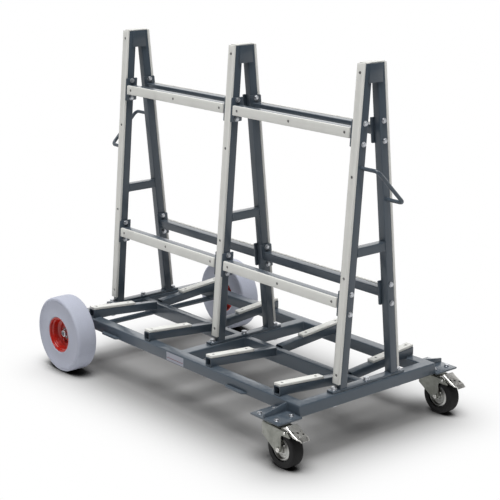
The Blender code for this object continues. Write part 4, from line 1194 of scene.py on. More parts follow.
@dataclass
class Chassis(Assembly):
    """The welded chassis: rails, cross member, beam, arms, brackets, lugs and their welds."""

    beam_width: float = 0.026
    beam_height: float = 0.050
    beam_drop: float = 0.0002
    arm_depth: float = 0.085
    mouth_depth: float = 0.030
    bracket_start: float = 0.515
    bracket_end: float = 0.650
    bracket_reach: float = 0.400
    bracket_thickness: float = 0.006
    rib_x: float = 0.578
    rib_thickness: float = 0.006
    rib_rise: float = 0.013
    rib_weld_share: float = 0.85
    rib_weld_start: float = 0.006
    rib_weld_drop: float = 0.010
    lug_starts: tuple[float, ...] = (-0.443, 0.277)
    lug_length: float = 0.107
    lug_reach: float = 0.014
    lug_taper: float = 0.012
    lug_thickness: float = 0.006
    weld: float = 0.0026
    weld_root: float = 0.002
    rim_inset: float = 0.004
    film_sunk: float = 0.0004
    film_corner: float = 0.0015
    node: str = "chassis"

    def build(self) -> None:
        """Builds every part of the chassis."""
        self.rails()
        for side in Side:
            self.arms(side)
            self.bracket(side)
            self.lugs(side)
        self.label()

    def paint(self, solid: Solid, name: str) -> None:
        """Hands one painted part of the chassis over."""
        self.steel(solid, name, self.node)

    def rails(self) -> None:
        """The side rails, end rails, cross member and beam, with the welds between them."""
        low, high = PLAN.rail_low, PLAN.deck
        inner, half = PLAN.rail_inner, PLAN.rail / 2
        bay = (half, PLAN.pitch - half)
        ring = Bench.sheet(
            self.oblong(-PLAN.half_length, PLAN.half_length, PLAN.half_width), PLAN.rail,
            Matrix.Translation((0.0, 0.0, (low + high) / 2)),
            [self.oblong(*bay, inner), self.oblong(-bay[1], -bay[0], inner)],
        )
        self.paint(Bench.soften(ring, PLAN.rail_corner, 4, 60.0), "rail_frame")
        beam_low = PLAN.deck - self.beam_height
        half_beam = self.beam_width / 2
        beam = Bench.bar(
            (-bay[1], -half_beam, beam_low), (bay[1], half_beam, high - self.beam_drop),
            Axis.LENGTH, PLAN.tube_corner,
        )
        self.paint(Bench.soften(beam, BAR_EDGE), "centre_beam")
        beads = []
        for x in (-bay[1], -bay[0], *bay):
            for sign in (-1, 1):
                for y in (sign * inner, sign * half_beam):
                    heights = (low + PLAN.rail_corner, high - PLAN.rail_corner)
                    beads.append(Bench.bead([Vector((x, y, z)) for z in heights], self.weld))
        self.paint(Bench.join(beads), "rail_welds")

    @staticmethod
    def oblong(start: float, end: float, half: float) -> Outline:
        """An oblong from one place along the length to another, as wide both ways."""
        return [(start, -half), (end, -half), (end, half), (start, half)]

    def arms(self, side: Side) -> None:
        """The four arms of one side, open at both ends, with welds at the beam and side rail.

        Args:
            side: The side.
        """
        place = PLAN.rising(side)
        half, root = PLAN.tube / 2, self.beam_width / 2
        beads = []
        for number, x in enumerate(PLAN.arm_places, start=1):
            arm = Bench.bar(
                (x - half, root - OVERLAP, 0.0), (x + half, PLAN.arm_reach, PLAN.tube),
                Axis.WIDTH, PLAN.tube_corner,
            )
            Bench.open_end(arm, Axis.WIDTH, 1, PLAN.tube_wall, self.arm_depth)
            Bench.open_end(arm, Axis.WIDTH, -1, PLAN.tube_wall, self.mouth_depth)
            arm.data.transform(place)
            Bench.seal(arm)
            self.paint(Bench.soften(arm, FINE_EDGE), f"arm_{side.word}_{number}")
            reaches = (PLAN.rail_inner + WELD_INSET, PLAN.arm_reach - WELD_INSET)
            for edge in (-half, half):
                route = [Vector((x + edge, side.sign * y, PLAN.deck)) for y in reaches]
                beads.append(Bench.bead(route, self.weld))
            heights = (self.rim_inset, PLAN.tube - self.rim_inset)
            for edge in (-half, half):
                ends = [place @ Vector((x + edge, root, z)) for z in heights]
                beads.append(Bench.bead(ends, self.weld * LIGHT_WELD_SHARE))
        self.paint(Bench.join(beads), f"arm_welds_{side.word}")

    def bracket(self, side: Side) -> None:
        """The caster bracket plate, its rib and their welds on one side.

        Args:
            side: The side.
        """
        sign = side.sign
        low, top = PLAN.rail_low, PLAN.rail_low + self.bracket_thickness
        root, rib_end = PLAN.half_width - self.weld_root, self.bracket_reach - OVERLAP
        outline = [
            (self.bracket_start, sign * root), (self.bracket_start, sign * self.bracket_reach),
            (self.bracket_end, sign * self.bracket_reach), (self.bracket_end, sign * root),
        ]
        middle = Matrix.Translation((0, 0, low + self.bracket_thickness / 2))
        plate = Bench.sheet(outline, self.bracket_thickness, middle)
        self.paint(Bench.soften(plate, PLATE_EDGE), f"caster_bracket_{side.word}")
        rib = [
            (sign * root, top - OVERLAP), (sign * rib_end, top - OVERLAP),
            (sign * rib_end, top + self.rib_rise), (sign * root, PLAN.deck - PLAN.rail_corner),
        ]
        gusset = Bench.sheet(rib, self.rib_thickness, standing(self.rib_x))
        self.paint(Bench.soften(gusset, SHEET_EDGE), f"caster_gusset_{side.word}")
        beads = []
        for face in (-1, 1):
            x = self.rib_x + face * self.rib_thickness / 2
            beads.append(Bench.bead([
                Vector((x, sign * (self.bracket_reach - self.rib_weld_start), top)),
                Vector((x, sign * PLAN.half_width, top)),
                Vector((x, sign * PLAN.half_width, PLAN.deck - self.rib_weld_drop)),
            ], self.weld * self.rib_weld_share))
        beads.append(Bench.bead([
            Vector((self.bracket_start + self.rim_inset, sign * PLAN.half_width, top)),
            Vector((PLAN.half_length - self.rim_inset, sign * PLAN.half_width, top)),
        ], self.weld))
        self.paint(Bench.join(beads), f"bracket_welds_{side.word}")

    def lugs(self, side: Side) -> None:
        """The flat tie lugs under one side rail's outer face.

        Args:
            side: The side.
        """
        low = PLAN.rail_low + PLAN.rail_corner
        middle = Matrix.Translation((0, 0, low + self.lug_thickness / 2))
        face = side.sign * PLAN.half_width
        root = side.sign * (PLAN.half_width - self.weld_root)
        reach = side.sign * (PLAN.half_width + self.lug_reach)
        for number, start in enumerate(self.lug_starts, start=1):
            end = start + self.lug_length
            outline = [
                (start, root), (start, face), (start + self.lug_taper, reach),
                (end - self.lug_taper, reach), (end, face), (end, root),
            ]
            lug = Bench.sheet(outline, self.lug_thickness, middle)
            self.paint(Bench.soften(lug, PLATE_EDGE), f"tie_lug_{side.word}_{number}")

    def label(self) -> None:
        """The blank label on the right rail's outer face, with one plain band."""
        face = -PLAN.half_width
        for name, (start, end), (low, high), proud, finish in (
            ("blank_label", (-0.052, 0.045), (0.1545, 0.1845), 0.0004, Finish.BLANK),
            ("blank_label_band", (-0.050, 0.043), (0.1640, 0.1660), 0.0006, Finish.BAND),
        ):
            film = Bench.bar(
                (start, face - proud, low), (end, face + self.film_sunk, high), Axis.WIDTH,
                self.film_corner,
            )
            self.hand_over(film, name, finish, Slot.PAINT)


@dataclass
class AFrame(Assembly):
    """One welded A-frame: legs, bars, top plates, their pale pad, welds and base bolts."""

    word: str
    mid_bar: float = 0.444
    base_thickness: float = 0.008
    base_width: float = 0.030
    base_reach: float = 0.160
    base_edge: float = 0.0009
    bolt_reach: float = 0.143
    bolt_radius: float = 0.005
    bolt_end: float = 0.0085
    nut_flats: float = 0.017
    nut_height: float = 0.006
    plate_thickness: float = 0.005
    plate_depth: float = 0.059
    plate_half: float = 0.0245
    pad_thickness: float = 0.004
    pad_overlap: float = 0.0005
    pad_edge: float = 0.0012
    mouth_depth: float = 0.06
    weld: float = 0.0024

    @property
    def x(self) -> float:
        """The frame's place along the length."""
        return PLAN.frame_places[self.word]

    @property
    def node(self) -> str:
        """The node that the frame stands for."""
        return f"a_frame_{self.word}"

    def paint(self, solid: Solid, name: str) -> None:
        """Hands one painted part of the frame over."""
        self.steel(solid, f"{name}_{self.word}", self.node)

    def build(self, bolts: Bolts) -> None:
        """Builds the whole frame.

        Args:
            bolts: The bolt heads of the base bar.
        """
        for side in Side:
            self.leg(side)
        self.bars()
        self.top_plates()
        self.top_pad()
        self.welds()
        self.base_bolts(bolts)

    def leg(self, side: Side) -> None:
        """One leaning leg, open at its top.

        Args:
            side: The side.
        """
        half, start = PLAN.tube / 2, PLAN.tube_start
        foot = PLAN.gap + self.base_thickness - OVERLAP
        leg = Bench.bar(
            (self.x - half, start, foot), (self.x + half, start + PLAN.tube, PLAN.frame_top),
            Axis.HEIGHT, PLAN.tube_corner,
        )
        Bench.open_end(leg, Axis.HEIGHT, 1, PLAN.tube_wall, self.mouth_depth)
        leg.data.transform(PLAN.leaning(side))
        Bench.seal(leg)
        self.paint(Bench.soften(leg, FINE_EDGE), f"leg_{side.word}")

    def inner_reach(self, height: float) -> float:
        """How far from the middle a leg's inner face is at a height over the deck."""
        return PLAN.strip_face - PLAN.tube_start - PLAN.tube - PLAN.slope * height

    def bars(self) -> None:
        """The mid bar and the base bar."""
        half = PLAN.tube / 2
        low, high = self.mid_bar - half, self.mid_bar + half
        reach = self.inner_reach(low) + OVERLAP
        bar = Bench.bar(
            (self.x - half + PLAN.gap, -reach, PLAN.deck + low),
            (self.x + half - PLAN.gap, reach, PLAN.deck + high), Axis.WIDTH, PLAN.tube_corner,
        )
        self.paint(bar, "mid_bar")
        low, half = PLAN.deck + PLAN.gap, self.base_width / 2
        foot = Bench.bar(
            (self.x - half, -self.base_reach, low),
            (self.x + half, self.base_reach, low + self.base_thickness), Axis.WIDTH,
        )
        self.paint(Bench.soften(foot, self.base_edge, 3), "base_bar")

    @property
    def flare(self) -> float:
        """Half the width of a top plate's lower edge."""
        return self.plate_half + PLAN.slope * self.plate_depth

    def top_plates(self) -> None:
        """The two plates that tie the leg tops."""
        top, flare = PLAN.deck + PLAN.frame_top, self.flare
        outline = [
            (-flare, top - self.plate_depth), (flare, top - self.plate_depth),
            (self.plate_half, top), (-self.plate_half, top),
        ]
        for face in (-1, 1):
            centre = self.x + face * (PLAN.tube + self.plate_thickness) / 2
            plate = Bench.sheet(outline, self.plate_thickness, standing(centre))
            name = "top_plate_outer" if face > 0 else "top_plate_inner"
            self.paint(Bench.soften(plate, PLATE_EDGE), name)

    def top_pad(self) -> None:
        """The thin pale pad that closes the tops of both legs."""
        half, low = PLAN.tube / 2, PLAN.deck + PLAN.frame_top
        reach = self.inner_reach(PLAN.frame_top) + PLAN.tube - self.pad_overlap
        pad = Bench.bar(
            (self.x - half, -reach, low - self.pad_overlap),
            (self.x + half, reach, low + self.pad_thickness), Axis.WIDTH,
        )
        Bench.soften(pad, self.pad_edge, 3)
        self.hand_over(pad, f"top_pad_{self.word}", Finish.STRIP, Slot.STRIP, [self.node])

    def welds(self) -> None:
        """The beads at the mid bar, the feet and the top plates."""
        beads = []
        half = PLAN.tube / 2
        places = (self.x - half + WELD_INSET, self.x + half - WELD_INSET)
        heights = (self.mid_bar - half + WELD_INSET, self.mid_bar + half - WELD_INSET)
        for side in Side:
            sign = side.sign
            for height in (self.mid_bar - half, self.mid_bar + half):
                y, z = sign * self.inner_reach(height), PLAN.deck + height
                beads.append(Bench.bead([Vector((x, y, z)) for x in places], self.weld))
            for face in (-half, half):
                ends = [
                    Vector((self.x + face, sign * self.inner_reach(height), PLAN.deck + height))
                    for height in heights
                ]
                beads.append(Bench.bead(ends, self.weld))
            foot = PLAN.gap + self.base_thickness
            corners = [
                PLAN.leaning(side) @ Vector((self.x + dx, PLAN.tube_start + dy, foot))
                for dx, dy in ((-half, 0.0), (half, 0.0), (half, PLAN.tube), (-half, PLAN.tube))
            ]
            beads.append(Bench.bead(corners, self.weld, closed=True))
        top = PLAN.deck + PLAN.frame_top
        for x in (self.x - half, self.x + half):
            for sign in (-1, 1):
                beads.append(Bench.bead([
                    Vector((x, sign * self.flare, top - self.plate_depth + WELD_INSET)),
                    Vector((x, sign * self.plate_half, top - WELD_INSET)),
                ], self.weld * LIGHT_WELD_SHARE))
        self.paint(Bench.join(beads), "welds")

    def base_bolts(self, bolts: Bolts) -> None:
        """The three bolts that tie the base bar down.

        Args:
            bolts: The bolt heads.
        """
        seat = PLAN.deck + PLAN.gap + self.base_thickness
        reach, radius, end = self.bolt_reach, self.bolt_radius, self.bolt_end
        heads = [bolts.at((self.x, y, seat), (0, 0, 1)) for y in (-reach, 0.0, reach)]
        shank = [
            (0.0, 0.0), (radius, 0.0), (radius, end - PLATE_EDGE), (radius - PLATE_EDGE, end),
            (0.0, end),
        ]
        for y in (-reach, reach):
            down = facing((self.x, y, PLAN.rail_low - PLAN.gap), (0, 0, -1))
            heads.append(Bench.hexagon(self.nut_flats, self.nut_height, down))
            heads.append(Bench.turn(shank, down, 24))
        self.hand_over(
            Bench.join(heads), f"base_bolts_{self.word}", Finish.BOLT, Slot.ZINC, [self.node]
        )


@dataclass
class LongTube(Assembly):
    """One tube between two A-frames, with end plates, welds and its tie bolts."""

    side: Side
    level_word: str
    level: float
    bay: int
    plate_thickness: float = 0.006
    plate_height: float = 0.082
    plate_width: float = 0.047
    plate_inset: float = 0.001
    plate_corner: float = 0.003
    bolt_spread: float = 0.032
    weld: float = 0.0022

    @property
    def name(self) -> str:
        """The node's name."""
        return f"{self.level_word}_tube_{self.side.word}_{BAYS[self.bay]}"

    def build(self, bolts: Bolts) -> None:
        """Builds the tube, its plates, welds and bolts.

        Args:
            bolts: The tie bolts' heads.
        """
        places = list(PLAN.frame_places.values())
        half, depth = PLAN.tube / 2, PLAN.tube_start
        face = half + PLAN.gap
        start, end = places[self.bay] + face, places[self.bay + 1] - face
        lean = PLAN.leaning(self.side)
        tube = Bench.bar(
            (start + self.plate_thickness / 2, depth, self.level - half),
            (end - self.plate_thickness / 2, depth + PLAN.tube, self.level + half),
            Axis.LENGTH, PLAN.tube_corner,
        )
        tube.data.transform(lean)
        self.steel(Bench.seal(tube), self.name + "_bar", self.name)
        plates, beads, heads = [], [], []
        for way, x in ((1, start), (-1, end)):
            inner = x + way * self.plate_thickness
            ends = sorted((x, inner))
            plate = Bench.bar(
                (ends[0], self.plate_inset, self.level - self.plate_height / 2),
                (ends[1], self.plate_inset + self.plate_width, self.level + self.plate_height / 2),
                Axis.LENGTH, self.plate_corner,
            )
            plate.data.transform(lean)
            plates.append(Bench.soften(Bench.seal(plate), SHEET_EDGE))
            corners = [
                lean @ Vector((inner, depth + dy, self.level + dz))
                for dy, dz in ((0.0, -half), (0.0, half), (PLAN.tube, half), (PLAN.tube, -half))
            ]
            beads.append(Bench.bead(corners, self.weld, closed=True))
            beyond = x - way * (PLAN.tube + 2 * PLAN.gap)
            at_end_frame = (self.bay, way) in ((0, 1), (1, -1))
            for level in (self.level - self.bolt_spread, self.level + self.bolt_spread):
                middle = lean @ Vector((inner, depth + half, level))
                heads.append(bolts.at(middle, (way, 0, 0)))
                if at_end_frame:
                    outer = lean @ Vector((beyond, depth + half, level))
                    heads.append(bolts.at(outer, (-way, 0, 0)))
        self.steel(Bench.join(plates), self.name + "_plates", self.name)
        self.steel(Bench.join(beads), self.name + "_welds", self.name)
        self.hand_over(Bench.join(heads), self.name + "_bolts", Finish.BOLT, Slot.ZINC, [self.name])


# Strips

@dataclass
class Strips(Assembly):
    """The pale strips on legs, tubes and arms, countersunk and screwed on."""

    leg_start: float = 0.026
    width: float = 0.032
    chamfer: float = 0.0014
    margin: float = 0.026
    arm_start: float = 0.112
    arm_end: float = 0.298
    leg_screws: tuple[float, ...] = (0.054, 0.3665, 0.6855, 1.0045)
    tube_screws: tuple[float, ...] = (-0.262, 0.0, 0.262)
    arm_screws: tuple[float, ...] = (0.136, 0.278)
    head_radius: float = 0.0046
    head_depth: float = 0.0026
    sunk: float = 0.0005
    cross_reach: float = 0.55
    cross_half: float = 0.00055

    def build(self) -> None:
        """Builds every strip with its screws."""
        self._screw = self.screw()
        half = PLAN.tube / 2
        for side in Side:
            lean = PLAN.leaning(side)
            out = lean.to_3x3() @ Vector((0.0, -1.0, 0.0))
            for word, x in PLAN.frame_places.items():
                self.strip(
                    f"leg_strip_{side.word}_{word}", (x - half, 0.0, self.leg_start),
                    (x + half, PLAN.strip_thickness, PLAN.frame_top + OVERLAP), Axis.HEIGHT, lean,
                    [Vector((x, 0.0, z)) for z in self.leg_screws], out,
                )
            places = list(PLAN.frame_places.values())
            for bay, bay_word in enumerate(BAYS):
                start, end = places[bay] + self.margin, places[bay + 1] - self.margin
                middle = (start + end) / 2
                for word, level in PLAN.levels.items():
                    low, high = level - self.width / 2, level + self.width / 2
                    self.strip(
                        f"{word}_strip_{side.word}_{bay_word}", (start, 0.0, low),
                        (end, PLAN.strip_thickness, high), Axis.LENGTH, lean,
                        [Vector((middle + dx, 0.0, level)) for dx in self.tube_screws], out,
                    )
            rise = PLAN.rising(side)
            low = PLAN.tube + PLAN.gap
            high = low + PLAN.strip_thickness
            for number, x in enumerate(PLAN.arm_places, start=1):
                self.strip(
                    f"arm_strip_{side.word}_{number}", (x - half, self.arm_start, low),
                    (x + half, self.arm_end, high), Axis.WIDTH, rise,
                    [Vector((x, y, high)) for y in self.arm_screws], Vector((0.0, 0.0, 1.0)),
                )
        bpy.data.objects.remove(self._screw)

    def screw(self) -> Solid:
        """The countersunk screw's head with its cross recess, top face at Z 0.

        Returns:
            The head.
        """
        radius, depth = self.head_radius, self.head_depth
        profile = [
            (0.0, 0.00035), (radius * 0.6, 0.00025), (radius * 0.93, 0.0), (radius, -0.0003),
            (radius * 0.45, -depth), (0.0, -depth),
        ]
        head = Bench.turn(profile, Matrix.Identity(4), 24)
        reach, half = radius * self.cross_reach, self.cross_half
        slots = []
        for turn in (0.0, math.pi / 2):
            slot = Bench.bar((-reach, -half, -0.0012), (reach, half, 0.001), Axis.HEIGHT)
            slot.data.transform(Matrix.Rotation(turn, 4, "Z"))
            slots.append(slot)
        return Bench.combine(head, slots, "DIFFERENCE")

    def strip(
        self, name: str, low: Place, high: Place, along: Axis, frame_of: Matrix,
        spots: Sequence[Vector], out: Vector,
    ) -> None:
        """One strip with its countersinks and screws.

        Args:
            name: The strip's node.
            low: Its lowest corner in its own frame.
            high: Its highest corner in its own frame.
            along: Its long direction.
            frame_of: The leaning or rising frame that it lies in.
            spots: The screws' places on its outer face, in its own frame.
            out: The direction that its outer face looks.
        """
        bar = Bench.bar(low, high, along, self.chamfer, 3)
        bar.data.transform(frame_of)
        Bench.soften(Bench.seal(bar), SHEET_EDGE, 2, 60.0)
        sinks, screws = [], []
        turns = random.Random(name)
        wide, deep = self.head_radius * 1.12, self.head_depth + 0.002
        countersink = [
            (0.0, 0.003), (wide, 0.003), (wide, -self.sunk), (self.head_radius * 0.5, -deep),
            (0.0, -deep),
        ]
        sunk = Matrix.Translation((0, 0, -self.sunk))
        for spot in spots:
            place = frame_of @ spot
            sinks.append(Bench.turn(countersink, facing(place, out), 24))
            seat = facing(place, out, turns.uniform(0.0, math.pi)) @ sunk
            screws.append(Bench.copy(self._screw, seat))
        Bench.combine(bar, sinks, "DIFFERENCE")
        self.hand_over(bar, name + "_pad", Finish.STRIP, Slot.STRIP, [name])
        self.hand_over(Bench.join(screws), name + "_screws", Finish.SCREW, Slot.ZINC)


# Handles

@dataclass
class PushHandle(Assembly):
    """A bent round bar from a high place on one leg to a lower place on the other."""

    word: str
    sign: int
    radius: float = 0.00625
    bend: float = 0.016
    projection: float = 0.072
    high: float = 0.713
    low: float = 0.598
    weld: float = 0.0018
    bend_steps: int = 10
    weld_steps: int = 14

    def build(self) -> None:
        """Builds the bar and the weld at each of its feet."""
        face = self.sign * (PLAN.pitch + PLAN.tube / 2 + PLAN.gap)
        tip = self.sign * (PLAN.pitch + PLAN.tube / 2 + self.projection)
        depth = PLAN.tube_start + PLAN.tube / 2
        top_side, low_side = Side.RIGHT, Side.LEFT
        if self.sign < 0:
            top_side, low_side = low_side, top_side
        high = PLAN.leaning(top_side) @ Vector((face, depth, self.high))
        low = PLAN.leaning(low_side) @ Vector((face, depth, self.low))
        corners = [high, Vector((tip, high.y, high.z)), Vector((tip, low.y, low.z)), low]
        node = f"handle_{self.word}"
        self.steel(Bench.wire(self.route(corners), self.radius, 8), node + "_bar", node)
        rings = []
        for foot in (high, low):
            ring = [
                foot + Vector((0.0, self.radius * math.cos(t), self.radius * math.sin(t)))
                for t in (math.tau * i / self.weld_steps for i in range(self.weld_steps))
            ]
            rings.append(Bench.bead(ring, self.weld, closed=True))
        self.steel(Bench.join(rings), node + "_welds")

    def route(self, corners: Sequence[Vector]) -> list[Vector]:
        """The handle's middle line, each inner corner bent to an arc.

        Args:
            corners: The line's corners.

        Returns:
            The points of the line.
        """
        route = [corners[0]]
        for before, corner, after in zip(corners, corners[1:], corners[2:]):
            back, ahead = (before - corner).normalized(), (after - corner).normalized()
            half = back.angle(ahead) / 2
            centre = corner + (back + ahead).normalized() * (self.bend / math.sin(half))
            reach = self.bend / math.tan(half)
            first, last = corner + back * reach - centre, corner + ahead * reach - centre
            for i in range(self.bend_steps + 1):
                arm = first.slerp(last, i / self.bend_steps)
                route.append(centre + arm.normalized() * self.bend)
        route.append(corners[-1])
        return route


# Wheels

@dataclass
class LargeWheel(Assembly):
    """One large wheel: solid tyre, dished rim, bearings, nut and washer."""

    side: Side
    half_width: float = 0.039
    bead_radius: float = 0.0663
    rim_radius: float = 0.066
    rim_half: float = 0.037
    sheet: float = 0.003
    hub_radius: float = 0.026
    bearing_radius: float = 0.021
    bearing_width: float = 0.012
    nut_flats: float = 0.024
    nut_height: float = 0.0085
    washer_radius: float = 0.015
    washer_height: float = 0.0025
    shoulder: float = 0.0085
    crown: float = 0.0001
    hub_back: float = -0.008
    axle_radius: float = 0.010
    thread_radius: float = 0.008
    dish: Outline = (
        (0.0355, -0.0020), (0.0372, -0.0008), (0.0385, 0.0035), (0.0400, 0.0055),
        (0.0425, 0.0066), (0.0500, 0.0082), (0.0522, 0.0095), (0.0534, 0.0125),
        (0.0555, 0.0215), (0.0566, 0.0245), (0.0596, 0.0262), (0.0610, 0.0285),
        (0.0616, 0.0335),
    )
    steps: int = 96

    @property
    def body(self) -> str:
        """The body that the wheel turns with."""
        return f"wheel_{self.side.word}"

    def place(self, outward: float = 0.0) -> Matrix:
        """The wheel's frame, its height pointing outward."""
        y = self.side.sign * (PLAN.wheel_y + outward)
        return PLAN.across(PLAN.wheel_x, y, PLAN.wheel_radius, self.side)

    def build(self) -> None:
        """Builds the tyre, the rim, both bearings and the nut."""
        word = self.side.word
        tyre = Bench.turn(self.tyre_section(), self.place(), self.steps)
        self.hand_over(
            tyre, f"large_tyre_{word}", Finish.TYRE, Slot.TYRE, [f"wheel_tyre_{word}"], self.body,
            40.0,
        )
        rim = Bench.turn(self.rim_section(), self.place(), self.steps)
        self.hand_over(
            rim, f"large_rim_{word}", Finish.RED, Slot.RED, [f"wheel_rim_{word}"], self.body, 30.0
        )
        half = self.bearing_width / 2
        for name, middle in (("outer", PLAN.hub_outer - half), ("inner", half - PLAN.hub_inner)):
            node = f"wheel_bearing_{name}_{word}"
            ring = Bench.turn(self.bearing_section(), self.place(middle), 48)
            self.hand_over(ring, node + "_ring", Finish.SCREW, Slot.BRIGHT, [node], self.body)
        self.nut()

    def tyre_section(self) -> list[Point]:
        """The tyre's section: rounded bead, shallow side wall, shoulder and crowned tread.

        Returns:
            The section's corners.
        """
        wide, shoulder = self.half_width, self.shoulder
        bead, wall_end = self.bead_radius, PLAN.wheel_radius - self.shoulder
        side = [
            (bead, wide - 0.0036), (bead + 0.0006, wide - 0.0012), (bead + 0.0026, wide - 0.0002),
            (bead + 0.0055, wide - 0.0004), (bead + 0.0085, wide - 0.0014),
            (wall_end - 0.012, wide - 0.0014), (wall_end - 0.009, wide - 0.0006),
            (wall_end - 0.005, wide - 0.0002), (wall_end - 0.0042, wide - 0.0010),
            (wall_end - 0.0034, wide - 0.0010), (wall_end - 0.0026, wide),
        ]
        curve = arc((wall_end - 0.0006, wide - shoulder), shoulder, 90.0, 8.0, 8)
        return mirrored([*side, *curve, (PLAN.wheel_radius - self.crown, wide * 0.35)])

    def rim_section(self) -> list[Point]:
        """The rim's section: rolled lip, barrel, stepped dish, disc and hub.

        Returns:
            The section's corners.
        """
        lip, hub, back = self.rim_radius, self.hub_radius, self.hub_back
        barrel = lip - self.sheet
        seat, throat = self.bearing_radius + PLAN.gap, 0.0185
        outer, outer_seat = PLAN.hub_outer, PLAN.hub_outer - self.bearing_width
        inner, inner_seat = -PLAN.hub_inner, self.bearing_width - PLAN.hub_inner
        front = [
            (lip, -self.rim_half), (barrel, -self.rim_half), (barrel - 0.0004, back - 0.004),
            (barrel - 0.004, back), (hub + 0.003, back), (hub, back - 0.003), (hub, inner),
            (seat, inner), (seat, inner_seat), (throat, inner_seat), (throat, outer_seat),
            (seat, outer_seat), (seat, outer - 0.0005), (seat + 0.0006, outer),
            (hub - 0.0008, outer), (hub, outer - 0.0008), (hub, 0.0005), (hub + 0.0012, -0.0014),
            (hub + 0.0035, -0.002),
        ]
        roll = arc((0.0633, 0.0346), 0.0024, 180.0, 90.0, 5)
        return [*front, *self.dish, *roll, (lip, self.rim_half - 0.0004)]

    def bearing_section(self) -> list[Point]:
        """A shielded bearing's section: two races with a shield set in between.

        Returns:
            The section's corners.
        """
        half, radius = self.bearing_width / 2, self.bearing_radius
        bore = self.axle_radius + PLAN.gap
        return mirrored([
            (bore, half - 0.0004), (bore + 0.0004, half), (0.0131, half), (0.0135, half - 0.0004),
            (0.0136, half - 0.0012), (0.0174, half - 0.0010), (0.0175, half - 0.0003),
            (0.0179, half), (radius - 0.0005, half), (radius, half - 0.0005),
        ])

    def nut(self) -> None:
        """The axle nut and its washer, which stay with the axle."""
        word = self.side.word
        seat = PLAN.hub_outer + PLAN.gap
        bore = self.thread_radius + PLAN.gap
        high = self.washer_height
        ring = Bench.turn(washer(bore, self.washer_radius, high, FINE_EDGE), self.place(seat), 48)
        nut = Bench.hexagon(self.nut_flats, self.nut_height, self.place(seat + high), 0.0012)
        hole = Bench.turn(
            [
                (0.0, -0.002), (bore, -0.002), (bore, self.nut_height - 0.0008),
                (bore + 0.0012, 0.02), (0.0, 0.02),
            ],
            self.place(seat + high), 32,
        )
        Bench.combine(nut, [hole], "DIFFERENCE")
        self.hand_over(
            Bench.join([nut, ring]), f"hub_nut_{word}", Finish.BOLT, Slot.ZINC, [f"axle_nut_{word}"]
        )


@dataclass
class Axle(Assembly):
    """The round axle bar with its collars and threaded ends."""

    radius: float = LargeWheel.axle_radius
    thread: float = LargeWheel.thread_radius
    thread_depth: float = 0.0008
    collar: float = 0.0135
    collar_width: float = 0.009
    chamfer: float = 0.0006
    pitch: float = 0.002
    end_chamfer: float = 0.001

    def build(self) -> None:
        """Builds the bar, its threads cut as fine grooves."""
        radius, collar, chamfer = self.radius, self.collar, self.chamfer
        inner = PLAN.wheel_y - PLAN.hub_inner - PLAN.gap
        back = inner - self.collar_width
        hub = PLAN.wheel_y + PLAN.hub_outer
        start = hub - self.end_chamfer
        end = hub + LargeWheel.washer_height + LargeWheel.nut_height + self.end_chamfer
        half = [
            (radius, back), (collar - chamfer, back), (collar, back + chamfer),
            (collar, inner - chamfer), (collar - chamfer, inner), (radius, inner),
            (radius, start - self.end_chamfer), (self.thread, start),
        ]
        count = int((end - start - self.end_chamfer) / self.pitch)
        for i in range(count):
            low = start + i * self.pitch
            groove = (self.thread - self.thread_depth, low + self.pitch / 2)
            half += [groove, (self.thread, low + self.pitch)]
        half += [(self.thread - self.end_chamfer, end), (0.0, end)]
        place = PLAN.across(PLAN.wheel_x, 0.0, PLAN.wheel_radius, Side.LEFT)
        bar = Bench.turn(mirrored(list(reversed(half))), place, 40)
        self.steel(bar, "axle_bar", "wheel_axle")


# Casters

